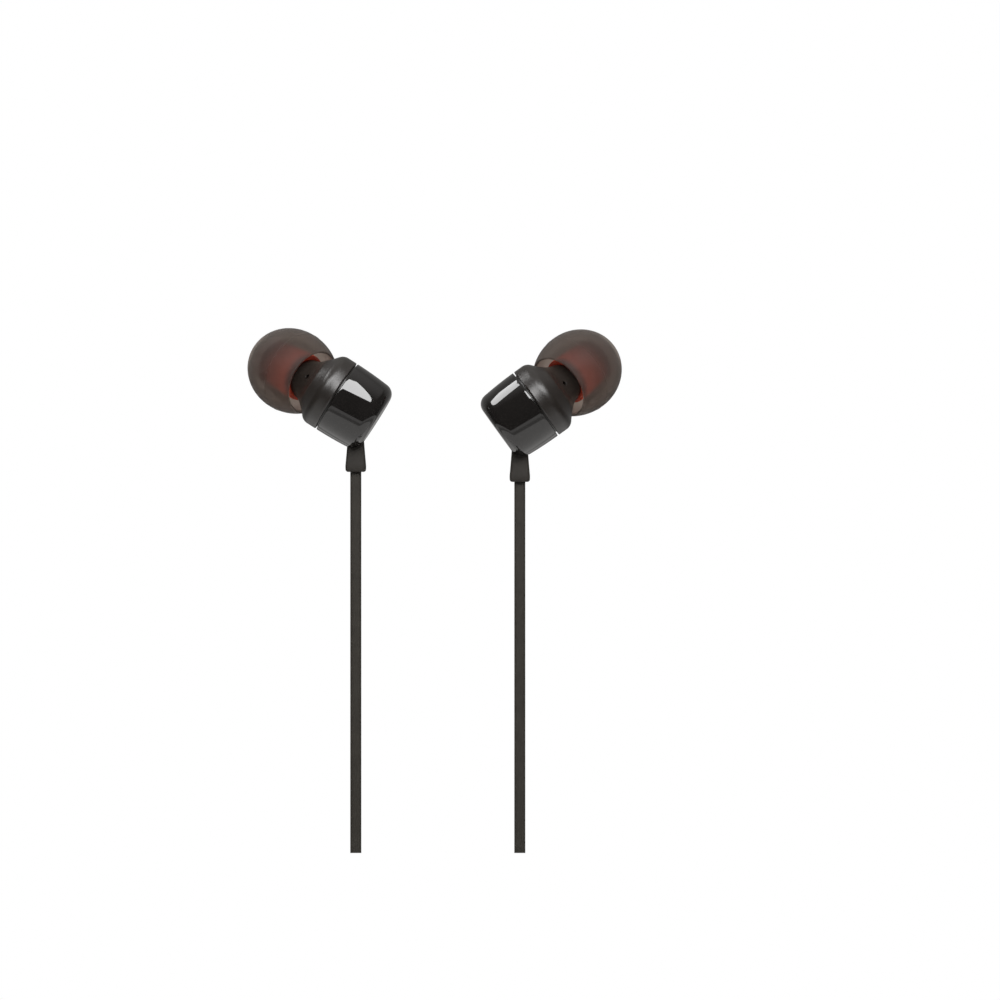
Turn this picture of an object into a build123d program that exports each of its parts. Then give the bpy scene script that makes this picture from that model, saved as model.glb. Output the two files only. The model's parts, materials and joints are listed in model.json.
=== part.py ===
from build123d import *
import os
from math import asin, cos, degrees, radians, sin, sqrt, tan

# Wired in-ear earphones, in millimetres, +Z up, +Y away from the viewer.
# Everything is laid out first with z = 0 at the left bud's cable exit and x = 0 midway between the
# two leads, then moved so that the origin is where the plug's pin leaves its grip.

os.makedirs("parts", exist_ok=True)

# ---- layout ----
lead_spacing = 24.6          # between the centres of the two straight leads
right_exit_drop = 1.5        # the right lead's exit is this much lower
seam_out = {"left": 2.88, "right": 2.42}         # parting seam's centre, outwards from the cable exit
seam_height = {"left": 11.33, "right": 11.69}    # and above it
housing_tilt = {"left": 32.6, "right": 35.9}     # rise of the housing's axis above horizontal, degrees
housing_roll = {"left": 4.5, "right": -2.6}      # turn about that axis, lowering the nozzle, degrees
swing_half_width = 0.9       # half width of the boot's mouth, across the flat cable

# ---- housings, measured along the housing axis from the seam ----
barrel_r = 5.78
seam_gap = 0.24
barrel_back = 7.05           # flat back face, behind the seam
barrel_back_r = 5.36         # radius the barrel tapers to before its rounded corner
barrel_corner_r = 1.7
wall = 0.9
spigot_r = 5.13
spigot_length = 1.8
spigot_clearance = 0.03
cup_bore_r = 4.65
cup_floor = 2.2
cup_step_r, cup_step = 3.7, 0.8    # the shallow recess in the cup's floor
shoulder_start = 1.55        # where the cup's straight side ends
shoulder_r = 1.6
shoulder_angle = 50          # how far round the shoulder's arc goes, degrees
dome_edge_r = 3.9
dome_top = 4.75

# ---- nozzle, measured along its own axis from where it crosses the housing axis ----
nozzle_root = 1.38
nozzle_angle = 36            # turned away from the viewer, degrees
neck_r = 3.1
neck_start = 1.2
neck_end = 5.1
stem_r = 2.75
stem_end = 10.6
barb_r = 2.85
barb_start, barb_end = 8.9, 10.1
barb_ramp = 0.1
bore_r = 1.9
guard_r = 2.25
guard_thickness = 0.2
foam_length = 1.4
vent_r = 0.25
vent_along = 2.35

# ---- ear tip, measured along the nozzle axis from its rear rim ----
rim_along = 3.74             # the rear rim, along the nozzle
tip_r = 6.33
tip_widest = 4.56
tip_length = 11.0
tip_front_reach = 7.04       # half height of the front half ellipsoid
rim_r = 5.1
skin_rim = 0.38              # thickness of the silicone at the rim
skin_wide = 0.5
skin_front = 0.85
sound_hole_r = 2.0
core_gap = 0.05              # between the neck's shoulder and the core's rear end
core_clearance = 0.03        # between the barb and the core's bore
core_bore_end = 11.1
core_r = 3.65
core_front_r = 3.3
core_front = 9.6
ellipse_steps = 6            # points along each elliptical arc

# ---- driver, measured along the housing axis from the seam ----
driver_r = 4.6
frame_step_r = 4.3
frame_seat_r = 3.62
frame_back, frame_floor, frame_front = -1.8, 0.3, 1.5
cover_thickness = 0.25
yoke_r, yoke_wall, yoke_floor = 3.6, 0.5, 0.6
yoke_back, yoke_front = -2.6, -0.05
magnet_r = 2.6
magnet_height = 1.45
coil_r, coil_wall = 2.75, 0.2
coil_back, coil_front = -0.7, 0.72
cone_r = 4.2
cone_skin = 0.12
cone_level = 0.72
cone_dome = 0.4
board_thickness = 0.35
board_width, board_height = 1.8, 4.2
board_centre = 1.9

# ---- boot and leads ----
boot_width, boot_depth = 3.05, 2.5
boot_top_width, boot_top_depth = 2.4, 2.1
boot_height = 5.2
boot_taper_end = 4.0
boot_edge = 0.35
boot_hole_gap = 0.08
socket_r = 0.56
lead_width, lead_thickness, lead_corner = 1.65, 0.95, 0.38
wire_r = 0.2
lumen_gap = 0.02
wire_offset = 0.4
lead_slot_gap = 0.03

# ---- remote on the right lead ----
remote_top, remote_length = -59.5, 27.0
remote_width, remote_depth, remote_wall = 6.4, 4.8, 0.75
button_length, button_width, button_proud = 8.4, 3.4, 0.4
button_travel_gap = 0.08
board_long, board_wide, remote_board_thickness = 19.0, 4.0, 0.6
switch_side, switch_height = 3.0, 1.1
plunger_r, plunger_length, plunger_gap = 0.6, 0.7, 0.05
button_flange, button_lip = 0.4, 0.2  # the retaining flange's thickness and overhang
mic_r, mic_height = 1.5, 1.0
mic_port_r = 0.4
cable_entry = 2.6            # how far a cable's end reaches into the remote

# ---- splitter ----
converge_top, converge_bottom = -88.5, -107.0
lead_pair = 1.1              # half the distance between the leads inside the splitter
splitter_top, splitter_bottom = -105.5, -118.0
splitter_width, splitter_depth = 5.6, 2.8
splitter_neck = 3.5
splitter_edge = 0.7
split_level = -112.0         # where the leads end and the trunk begins

# ---- trunk cable, folded into a flat hank ----
trunk_width, trunk_thickness, trunk_corner = 2.1, 0.95, 0.38
trunk_wire_offset = 0.62
hank_turn = 45               # the hank's plane, turned from the leads' plane, degrees
hank_layers = 5
hank_pitch = 1.2
hank_core_r = 3.0            # innermost bend
hank_low, hank_high = -121.0, -71.0
splitter_bend_r = 4.0
plug_bend_r = 4.5
tie_level, tie_height, tie_wall = -96.0, 7.0, 0.7
tie_gap = 0.05

# ---- plug ----
pin_r = 1.75
pin_length = 14.0
sleeve_length = 5.4
ring_length, band_length = 2.0, 0.6
pin_tip_r = 0.9
contact_skin = 0.22
film = 0.05                  # insulation between nested contacts
fit = 0.02                   # clearance of a moulding round its insert
grip_r, grip_length = 3.7, 15.0
relief_length = 8.5
relief_top_r, relief_base_r = 1.75, 2.6
relief_slots = 4
contact_tail = 5.0           # how far the contacts reach up into the grip
collar_r, collar_height = 1.45, 2.2              # the sleeve's collar inside the grip
flange_r, flange_low, flange_high = 2.65, 0.4, 1.2
plug_seat_z = -98.5


def turned(edges):
    """A solid of revolution about Z, from a closed outline drawn as radius and height."""
    return revolve(Plane.XZ * make_face(edges), Axis.Z)


def turned_polygon(*points):
    return turned(Polyline(*points, close=True).edges())


def tube(inner, outer, low, high):
    return turned_polygon((inner, low), (outer, low), (outer, high), (inner, high))


def rod(radius, low, high):
    return Pos(0, 0, low) * extrude(Circle(radius), high - low)


def block(x, y, z):
    """A box between pairs of limits along X, Y and Z."""
    size = [limits[1] - limits[0] for limits in (x, y, z)]
    centre = [(limits[1] + limits[0]) / 2 for limits in (x, y, z)]
    return Pos(*centre) * Box(*size)


def ring_of(shape, count, first=0.0):
    """Copies of a shape, equally spaced round Z."""
    return [Rot(0, 0, first + 360 * k / count) * shape for k in range(count)]


def joined(shapes):
    """Separate solids kept apart in one node."""
    return Compound(children=[solid for shape in shapes for solid in shape.solids()])


# Both buds are drawn right-handed, in three nested frames: the bud's own (origin at the cable exit),
# the housing's (Z along its axis, X to the lower side, Y away from the viewer) and the nozzle's.
# Parts are drawn in the housing's frame, apart from the boot and the tails, which hang straight.
nozzle_at = Pos(0, 0, nozzle_root) * Rot(-nozzle_angle, 0, 0)


def housing_place(side):
    """Where a side's housing stands in its bud: both hang a little differently on their leads."""
    seam = Pos(seam_out[side], 0, seam_height[side])
    return seam * Rot(0, 90 - housing_tilt[side], 0) * Rot(0, 0, -housing_roll[side])


def boot_core(grow=0.0):
    """The boot's tapering shank, above the cable exit."""
    low = RectangleRounded(boot_width + 2 * grow, boot_depth + 2 * grow, boot_edge)
    top = RectangleRounded(boot_top_width + 2 * grow, boot_top_depth + 2 * grow, boot_edge)
    shank = loft([low, Pos(0, 0, boot_taper_end) * top])
    return shank + Pos(0, 0, boot_taper_end) * extrude(top, boot_height - boot_taper_end)


def rear_housing(place):
    """The glossy barrel: slightly tapering side, rounded corner, flat back, and a hole for the boot."""
    seam = -seam_gap / 2
    side = TangentArc((barrel_r, seam), (barrel_back_r, -barrel_back), tangent=(0, -1))
    rest = Polyline((barrel_back_r, -barrel_back), (0, -barrel_back), (0, seam), (barrel_r, seam))
    section = make_face(side.edges() + rest.edges())
    corner = section.vertices().sort_by(Axis.Y)[:2].sort_by(Axis.X)[-1]
    section = fillet(corner, barrel_corner_r)
    barrel = revolve(Plane.XZ * section, Axis.Z)
    bore = spigot_r + spigot_clearance
    step = -spigot_length - 0.1
    hollow_r = barrel_r - wall
    hollow = turned_polygon((0, seam), (bore, seam), (bore, step), (hollow_r, step),
                            (hollow_r - 0.2, -barrel_back + 2.0), (hollow_r - 1.1, -barrel_back + wall),
                            (0, -barrel_back + wall))
    return place * (barrel - hollow) - boot_core(boot_hole_gap)


def cup_outline():
    """The front cup's outside: straight side, rounded shoulder, cone and shallow dome."""
    centre_r = barrel_r - shoulder_r
    shoulder = CenterArc((centre_r, shoulder_start), shoulder_r, 0, shoulder_angle)
    end = shoulder @ 1
    cone_end = (dome_edge_r, end.Y + (end.X - dome_edge_r) / tan(radians(shoulder_angle)))
    dome = ThreePointArc(cone_end, (dome_edge_r * 0.55, dome_top - 0.2), (0, dome_top))
    seam = seam_gap / 2
    side = Line((barrel_r, seam), (barrel_r, shoulder_start))
    inside = Polyline((0, dome_top), (0, -spigot_length), (spigot_r, -spigot_length), (spigot_r, seam),
                      (barrel_r, seam))
    return side.edges() + shoulder.edges() + Line(end, cone_end).edges() + dome.edges() + inside.edges()


def front_housing():
    """The matt cup with its angled nozzle, as one moulding."""
    neck = rod(neck_r, neck_start, neck_end)
    stem = turned_polygon((0, neck_start), (stem_r, neck_start), (stem_r, barb_start - barb_ramp),
                          (barb_r, barb_start), (barb_r, barb_end - barb_ramp), (stem_r, barb_end),
                          (stem_r, stem_end), (0, stem_end))
    cup = turned(cup_outline()) + nozzle_at * (neck + stem)
    cavity = turned_polygon((0, -spigot_length), (cup_bore_r, -spigot_length), (cup_bore_r, cup_floor),
                            (cup_step_r, cup_floor), (cup_step_r - 0.3, cup_floor + cup_step),
                            (0, cup_floor + cup_step))
    guard_seat = rod(guard_r + 0.02, stem_end - guard_thickness - 0.05, stem_end)
    vent = Pos(0, 0, vent_along) * Rot(90, 0, 0) * rod(vent_r, 0, neck_r + 2)
    channel = rod(bore_r, 0, stem_end) + guard_seat + vent
    return cup - cavity - nozzle_at * channel


def nozzle_mesh():
    """The woven guard at the nozzle's mouth, as a thin pierced disc."""
    top = stem_end - 0.03
    disc = rod(guard_r, top - guard_thickness, top)
    holes = ring_of(Pos(guard_r * 0.62, 0, 0) * rod(0.22, top - 1, top + 1), 10)
    holes += ring_of(Pos(guard_r * 0.32, 0, 0) * rod(0.22, top - 1, top + 1), 5)
    return nozzle_at * (disc - holes)


def nozzle_foam():
    high = stem_end - guard_thickness - 0.15
    return nozzle_at * rod(bore_r - 0.02, high - foam_length, high)


def half_ellipse(radius, reach, start, end):
    """The arc of an ellipse round the tip's widest level, between two heights above that level."""
    first, last = asin(start / reach), asin(end / reach)
    angles = [first + (last - first) * k / ellipse_steps for k in range(ellipse_steps + 1)]
    points = [(radius * cos(angle), tip_widest + reach * sin(angle)) for angle in angles]
    ends = [(-radius * sin(angle), reach * cos(angle)) for angle in (first, last)]
    return Spline(*points, tangents=ends)


def reach_for(radius, end_radius, height):
    """Half height of the ellipse that has this radius at its middle and end_radius at height."""
    return height / sqrt(1 - (end_radius / radius) ** 2)


def ear_tip_skirt():
    """The soft dome: thin at its rear rim, thicker at the front, open to the core's bore."""
    outer_rear = half_ellipse(tip_r, reach_for(tip_r, rim_r, tip_widest), -tip_widest, 0)
    outer_front = half_ellipse(tip_r, tip_front_reach, 0, tip_length - tip_widest)
    inner_r = tip_r - skin_wide
    inner_rim = rim_r - skin_rim
    inner_reach = tip_front_reach - skin_front
    meet = inner_reach * sqrt(1 - (core_front_r / inner_r) ** 2)
    inner_front = half_ellipse(inner_r, inner_reach, 0, meet)
    inner_rear = half_ellipse(inner_r, reach_for(inner_r, inner_rim, tip_widest), -tip_widest, 0)
    nose = Polyline(outer_front @ 1, (sound_hole_r, tip_length), (sound_hole_r, core_front),
                    (core_front_r, core_front), inner_front @ 1)
    rim = ThreePointArc(inner_rear @ 0, ((rim_r + inner_rim) / 2, -skin_rim / 2), outer_rear @ 0)
    outline = outer_rear.edges() + outer_front.edges() + nose.edges()
    outline += inner_front.edges() + inner_rear.edges() + rim.edges()
    return nozzle_at * Pos(0, 0, rim_along) * turned(outline)


def ear_tip_core():
    """The firmer tube inside the dome that grips the nozzle."""
    back = neck_end + core_gap - rim_along
    bore = barb_r + core_clearance
    bore_end = core_bore_end - rim_along
    inner_reach = tip_front_reach - skin_front
    meet = tip_widest + inner_reach * sqrt(1 - (core_front_r / (tip_r - skin_wide)) ** 2)
    return nozzle_at * Pos(0, 0, rim_along) * turned_polygon(
        (bore, back), (core_r, back), (core_r, back + 1), (core_front_r, meet),
        (core_front_r, core_front), (sound_hole_r, core_front), (sound_hole_r, bore_end), (bore, bore_end))


def driver_frame():
    frame = turned_polygon((frame_seat_r, frame_back), (frame_seat_r + 0.5, frame_back), (driver_r, -0.3),
                           (driver_r, frame_front), (frame_step_r, frame_front),
                           (frame_step_r, frame_floor), (frame_seat_r, frame_floor))
    vents = ring_of(Pos((frame_seat_r + frame_step_r) / 2, 0, 0) * rod(0.2, frame_back - 1, 2), 6)
    return frame - vents


def driver_yoke():
    """The steel pot that closes the magnet's field, with a vent through its floor."""
    pot = rod(yoke_r, yoke_back, yoke_front) - rod(yoke_r - yoke_wall, yoke_back + yoke_floor, 1)
    return pot - rod(0.4, yoke_back - 1, 0)


def driver_magnet():
    low = yoke_back + yoke_floor
    return tube(0.4, magnet_r, low, low + magnet_height)


def driver_pole_plate():
    low = yoke_back + yoke_floor + magnet_height
    return tube(0.4, magnet_r, low, yoke_front)


def driver_voice_coil():
    return tube(coil_r, coil_r + coil_wall, coil_back, coil_front)


def driver_diaphragm():
    """A thin domed film with a rolled surround."""
    fold = coil_r + coil_wall
    low = cone_level + 0.02
    dome_low = ThreePointArc((0, low + cone_dome), (fold * 0.55, low + cone_dome * 0.7), (fold, low))
    roll_low = ThreePointArc((fold, low), ((fold + cone_r) / 2, low + 0.3), (cone_r, low))
    high = low + cone_skin
    dome_high = ThreePointArc((0, high + cone_dome), (fold * 0.55, high + cone_dome * 0.7), (fold, high))
    roll_high = ThreePointArc((fold, high), ((fold + cone_r) / 2, high + 0.3), (cone_r, high))
    ends = [Line((0, low + cone_dome), (0, high + cone_dome)), Line((cone_r, low), (cone_r, high))]
    outline = []
    for piece in [dome_low, roll_low, dome_high, roll_high] + ends:
        outline += piece.edges()
    return turned(outline)


def driver_cover():
    low = frame_front
    disc = rod(driver_r, low, low + cover_thickness)
    holes = ring_of(Pos(2.4, 0, 0) * rod(0.55, low - 1, low + 1), 6) + [rod(0.6, low - 1, low + 1)]
    return disc - holes


def rear_damper():
    """Paper ring over the frame's vents."""
    return tube(frame_seat_r + 0.02, frame_seat_r + 0.48, frame_back - 0.1, frame_back)


def terminal_board():
    """Small board behind the yoke that the conductors are soldered to."""
    high = yoke_back
    board = block((board_centre - board_width / 2, board_centre + board_width / 2),
                  (-board_height / 2, board_height / 2), (high - board_thickness, high))
    pads = [Pos(board_centre, side * board_height / 4, high - board_thickness) * Cylinder(0.4, 0.3)
            for side in (-1, 1)]
    return board + pads


def lead_section(width, thickness, corner, offsets, grow=0.0):
    """The flat jacket's section, with a round lumen for each conductor."""
    jacket = RectangleRounded(width + 2 * grow, thickness + 2 * grow, corner)
    for offset in offsets:
        jacket -= Pos(offset, 0) * Circle(wire_r + lumen_gap)
    return jacket


def boot(_):
    """Strain relief: tapering block with rounded lower edges and a round-bottomed mouth for the lead."""
    body = boot_core()
    low_edges = body.edges().group_by(Axis.Z)[0]
    body = fillet(low_edges, boot_edge * 0.9)
    mouth = Rot(0, 90, 0) * Cylinder(socket_r, 2 * swing_half_width)
    bore = lead_section(lead_width, lead_thickness, lead_corner, [], lead_slot_gap)
    return body - mouth - extrude(bore, boot_height + 1)


def lead_tail(_):
    """The end of the flat cable that is moulded into the boot."""
    section = lead_section(lead_width, lead_thickness, lead_corner, (-wire_offset, wire_offset))
    low = socket_r + 0.05
    return Pos(0, 0, low) * extrude(section, boot_height - low)


def wire_tail(place):
    """The two conductors from the lead's end to the terminal board."""
    wires = []
    for side in (-1, 1):
        start = Vector(side * wire_offset, 0, socket_r + 0.1)
        turn = Vector(side * wire_offset, 0, boot_height + 0.2)
        pad = board_centre, side * board_height / 4, yoke_back - board_thickness - 0.35
        end = (place * Pos(*pad)).position
        along = (place * Pos(*pad[:2], pad[2] + 1)).position - end
        path = Wire([Line(start, turn).edge(), Spline(turn, end, tangents=[(0, 0, 1), along]).edge()])
        wires.append(sweep(Plane(start, z_dir=(0, 0, 1)) * Circle(wire_r), path))
    return joined(wires)


hanging_parts = {
    "rear_housing": rear_housing,
    "boot": boot,
    "lead_tail": lead_tail,
    "wire_tail": wire_tail,
}

housing_parts = {
    "front_housing": front_housing,
    "ear_tip_skirt": ear_tip_skirt,
    "ear_tip_core": ear_tip_core,
    "nozzle_mesh": nozzle_mesh,
    "nozzle_foam": nozzle_foam,
    "driver_frame": driver_frame,
    "driver_yoke": driver_yoke,
    "driver_magnet": driver_magnet,
    "driver_pole_plate": driver_pole_plate,
    "driver_voice_coil": driver_voice_coil,
    "driver_diaphragm": driver_diaphragm,
    "driver_cover": driver_cover,
    "rear_damper": rear_damper,
    "terminal_board": terminal_board,
}


def hung(part, side):
    """A bud's part at its lead's exit: the right bud's as drawn, the left bud's mirrored."""
    if side == "right":
        return Pos(lead_spacing / 2, 0, -right_exit_drop) * part
    return Pos(-lead_spacing / 2, 0, 0) * mirror(part, Plane.YZ)


def converging_path(side, top):
    """A lead's centre line: straight down, an even S-bend inwards, then straight into the splitter."""
    outer = side * lead_spacing / 2
    inner = side * lead_pair
    middle = ((outer + inner) / 2, (converge_top + converge_bottom) / 2)
    first = TangentArc((outer, converge_top), middle, tangent=(0, -1))
    second = TangentArc(middle, (inner, converge_bottom), tangent=first % 1)
    pieces = [Line((outer, top), (outer, converge_top)), first, second,
              Line((inner, converge_bottom), (inner, split_level))]
    return Plane.XZ * Wire([piece.edge() for piece in pieces])


def along(path, section, width_axis):
    """A section carried along a path, its width kept on width_axis at the start."""
    start = Plane(path @ 0, x_dir=width_axis, z_dir=path % 0)
    return sweep(start * section, path)


def lead_start():
    """The lead's rounded upper end, which rocks in the boot's mouth."""
    stub = extrude(RectangleRounded(lead_width, lead_thickness, lead_corner), lead_thickness / 2)
    return stub & (Rot(0, 90, 0) * Cylinder(lead_thickness / 2, lead_width))


lead_bare = lead_section(lead_width, lead_thickness, lead_corner, (-wire_offset, wire_offset))
lead_conductors = Sketch() + [Pos(offset, 0) * Circle(wire_r) for offset in (-wire_offset, wire_offset)]


def left_lead():
    lead = along(converging_path(-1, 0), lead_bare, (1, 0, 0))
    return lead + Pos(-lead_spacing / 2, 0, 0) * lead_start()


def left_lead_wires():
    return along(converging_path(-1, -0.1), lead_conductors, (1, 0, 0))


def straight_lead(section, high, low):
    return Pos(lead_spacing / 2, 0, low) * extrude(section, high - low)


def right_lead_upper():
    lead = straight_lead(lead_bare, -right_exit_drop, remote_top - cable_entry)
    return lead + Pos(lead_spacing / 2, 0, -right_exit_drop) * lead_start()


def right_lead_lower():
    return along(converging_path(1, remote_top - remote_length + cable_entry), lead_bare, (1, 0, 0))


def right_lead_wires():
    upper = straight_lead(lead_conductors, -right_exit_drop - 0.1, remote_top - cable_entry - 0.5)
    lower = along(converging_path(1, remote_top - remote_length + cable_entry + 0.5), lead_conductors,
                  (1, 0, 0))
    return joined([upper, lower])


# ---- remote: its own frame has Z up, Y away from the viewer, origin at its middle ----
remote_at = Pos(lead_spacing / 2, 0, remote_top - remote_length / 2)
board_y = remote_depth / 2 - remote_wall - 0.15      # the board's rear face
board_front_y = board_y - remote_board_thickness
switch_front_y = board_front_y - switch_height
plunger_front_y = switch_front_y - 0.35
shell_inner_y = -remote_depth / 2 + remote_wall
button_level = 3.0                                    # the button's and switch's height
mic_level = -5.5


def remote_blank(shrink=0.0):
    """A long pebble: rounded in front view and softened along its edges."""
    outline = SlotOverall(remote_length - 2 * shrink, remote_width - 2 * shrink)
    slab = Rot(90, 0, 0) * Rot(0, 0, 90) * extrude(outline, remote_depth / 2 - shrink, both=True)
    soft = max(1.5 - shrink, 0.4)
    return fillet(slab.edges().filter_by(lambda edge: abs(edge.center().Y) > 0.5), soft)


def remote_shells():
    """The closed shell, with its cavity, cable entries, button opening and microphone port."""
    shell = remote_blank() - remote_blank(remote_wall)
    shell -= Box(lead_width + 0.06, lead_thickness + 0.06, remote_length + 2)
    opening = stadium(button_width + 2 * button_travel_gap, button_length + 2 * button_travel_gap)
    shell -= Pos(0, -remote_depth, button_level) * slab_along_y(opening, remote_depth)
    return shell - Pos(0, -remote_depth, mic_level) * slab_along_y(Circle(mic_port_r), remote_depth)


def stadium(width, length):
    return Rot(0, 0, 90) * SlotOverall(length, width)


def slab_along_y(outline, depth):
    """An outline in the XZ plane, extruded from y = 0 away from the viewer."""
    return Rot(90, 0, 0) * extrude(outline, -depth)


def remote_front():
    half = block((-10, 10), (-10, 0), (-30, 30))
    return remote_at * (remote_shells() & half)


def remote_rear():
    half = block((-10, 10), (0, 10), (-30, 30))
    return remote_at * (remote_shells() & half)


def remote_button():
    """The key: a domed stadium with an inner flange and a post over the switch."""
    top = -remote_depth / 2 - button_proud
    key = slab_along_y(stadium(button_width, button_length), shell_inner_y - top + 0.05)
    key = fillet(key.edges().group_by(Axis.Y)[0], 0.35)
    key = Pos(0, top, 0) * key
    rim = stadium(button_width + 2 * button_lip, button_length + 2 * button_lip)
    flange = slab_along_y(rim, button_flange)
    flange_y = shell_inner_y + 0.05
    post_y = flange_y + button_flange
    post = slab_along_y(Circle(0.9), plunger_front_y - post_y)
    key += Pos(0, flange_y, 0) * flange + Pos(0, post_y, 0) * post
    return remote_at * Pos(0, 0, button_level) * key


def remote_board():
    return remote_at * block((-board_wide / 2, board_wide / 2), (board_front_y, board_y),
                             (-board_long / 2, board_long / 2))


def remote_switch():
    """Tactile switch body with a well for its plunger."""
    body = block((-switch_side / 2, switch_side / 2), (switch_front_y, board_front_y),
                 (button_level - switch_side / 2, button_level + switch_side / 2))
    well = Pos(0, switch_front_y, button_level) * slab_along_y(Circle(plunger_r + plunger_gap), 0.85)
    return remote_at * (body - well)


def remote_plunger():
    stem = slab_along_y(Circle(plunger_r), plunger_length)
    return remote_at * Pos(0, plunger_front_y, button_level) * stem


def remote_microphone():
    can = slab_along_y(Circle(mic_r), mic_height)
    port = slab_along_y(Circle(0.35), 0.3)
    return remote_at * Pos(0, board_front_y - mic_height, mic_level) * (can - port)


# ---- splitter and trunk ----
hank_plane = Plane((0, 0, 0), x_dir=(cos(radians(hank_turn)), sin(radians(hank_turn)), 0),
                   z_dir=(sin(radians(hank_turn)), -cos(radians(hank_turn)), 0))
hank_half = 2 * hank_core_r + (hank_layers - 1) * hank_pitch
hank_middle = 2 * splitter_bend_r + hank_half
plug_column = hank_middle + hank_half + 2 * plug_bend_r
trunk_bare = lead_section(trunk_width, trunk_thickness, trunk_corner,
                          (-trunk_wire_offset, 0, trunk_wire_offset))
trunk_conductors = Sketch() + [Pos(offset, 0) * Circle(wire_r)
                               for offset in (-trunk_wire_offset, 0, trunk_wire_offset)]
trunk_end = plug_seat_z + contact_tail + 3.0


def trunk_columns():
    """Where the cable's upright runs stand across the hank, in the order the cable visits them.

    The cable is folded in half and wound as a pair, so it spirals in, turns at the middle and
    spirals out between its own turns, and both ends leave from the outside."""
    inward = [(-1) ** (k + 1) * (2 * hank_core_r + k * hank_pitch) for k in range(hank_layers - 1, -1, -1)]
    outward = [-place for place in reversed(inward)]
    hank = [hank_middle + place for place in inward + [0] + outward]
    return [0] + hank + [plug_column]


def trunk_path(top, bottom):
    """The trunk's centre line from the splitter to the plug: upright runs joined by half turns."""
    columns = trunk_columns()
    pieces = [Line((columns[0], top), (columns[0], hank_low))]
    for k in range(len(columns) - 1):
        here, there = columns[k], columns[k + 1]
        level = hank_low if k % 2 == 0 else hank_high
        bulge = -1 if k % 2 == 0 else 1
        crown = ((here + there) / 2, level + bulge * abs(there - here) / 2)
        pieces.append(ThreePointArc((here, level), crown, (there, level)))
        other = bottom if k == len(columns) - 2 else hank_low + hank_high - level
        pieces.append(Line((there, level), (there, other)))
    return hank_plane * Wire([piece.edge() for piece in pieces])


def trunk_cable():
    return along(trunk_path(split_level, trunk_end), trunk_bare, hank_plane.z_dir)


def trunk_wires():
    return along(trunk_path(split_level - 0.3, trunk_end - 0.6), trunk_conductors, hank_plane.z_dir)


def splitter():
    """Soft moulding over the joint: two flat bores above, one below."""
    wide = RectangleRounded(splitter_width, splitter_depth, splitter_edge)
    narrow = RectangleRounded(splitter_neck, splitter_depth, splitter_edge)
    height = splitter_top - splitter_bottom
    body = loft([narrow, Pos(0, 0, height * 0.3) * narrow, Pos(0, 0, height * 0.75) * wide,
                 Pos(0, 0, height) * wide], ruled=False)
    body = Pos(0, 0, splitter_bottom) * body
    for side in (-1, 1):
        bore = lead_section(lead_width, lead_thickness, lead_corner, [], lead_slot_gap)
        path = converging_path(side, converge_top + 1)
        body -= along(path, bore, (1, 0, 0))
    trunk_bore = lead_section(trunk_width, trunk_thickness, trunk_corner, [], lead_slot_gap)
    down = Plane((0, 0, split_level), x_dir=hank_plane.z_dir, z_dir=(0, 0, -1))
    return body - extrude(down * trunk_bore, split_level - splitter_bottom + 1)


def cable_tie():
    """A soft strap round the middle of the hank."""
    length = 2 * hank_half + trunk_thickness + 2 * tie_gap
    width = trunk_width + 2 * tie_gap
    outer = RectangleRounded(length + 2 * tie_wall, width + 2 * tie_wall, tie_wall + 0.4)
    strap = extrude(outer - RectangleRounded(length, width, 0.4), tie_height / 2, both=True)
    return Rot(0, 0, hank_turn) * Pos(hank_middle, 0, tie_level) * strap


# ---- plug: its own frame has the origin at the pin's root, the pin pointing down ----
plug_x = plug_column * cos(radians(hank_turn))
plug_y = plug_column * sin(radians(hank_turn))
plug_at = Pos(plug_x, plug_y, plug_seat_z)


def contact_ends():
    """Heights of the contacts' visible bands, from the pin's root down: (high, low) of each."""
    first = -sleeve_length - band_length
    second = first - ring_length - band_length
    return (0, -sleeve_length), (first, first - ring_length), (second, second - ring_length)


def nested_radii(layer):
    """Inner and outer radius of a contact's tail, counted from the innermost."""
    inner = 0.35 + layer * (contact_skin + film)
    return inner, inner + contact_skin


def plug_contact(band, layer):
    """A ring on the pin with a thin tube that runs up inside the outer contacts to the grip."""
    high, low = band
    inner, outer = nested_radii(layer)
    shell = tube(inner, pin_r, low, high)
    return shell + tube(inner, outer, low, contact_tail - layer)


def plug_sleeve():
    band = contact_ends()[0]
    inner = nested_radii(2)[1] + film
    collar = tube(inner, collar_r, band[0], collar_height)
    flange = tube(inner, flange_r, flange_low, flange_high)
    return plug_at * (tube(inner, pin_r, band[1], band[0]) + collar + flange)


def plug_ring_1():
    return plug_at * plug_contact(contact_ends()[1], 2)


def plug_ring_2():
    return plug_at * plug_contact(contact_ends()[2], 1)


def plug_tip():
    """The nose: a shoulder, a waist for the socket's spring and a cone with a rounded point."""
    top = contact_ends()[2][1] - band_length
    waist = -pin_length + 2.4
    outline = [(0, top), (pin_r, top), (pin_r, top - 0.35), (pin_r - 0.45, waist + 0.4),
               (pin_r - 0.35, waist), (pin_r - 0.02, waist - 0.35), (pin_tip_r, -pin_length + 0.3),
               (pin_tip_r - 0.35, -pin_length), (0, -pin_length)]
    rod_r = nested_radii(1)[0] - film
    return plug_at * (turned_polygon(*outline) + rod(rod_r, top, contact_tail))


def plug_insulators():
    """Plastic that fills the bands and the films between the nested contacts."""
    tip_top = contact_ends()[2][1] - band_length
    filled = rod(pin_r, tip_top, 0) - plug_at.inverse() * plug_sleeve()
    filled -= plug_at.inverse() * plug_ring_1()
    filled -= plug_at.inverse() * plug_ring_2()
    return plug_at * (filled - plug_at.inverse() * plug_tip())


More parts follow.
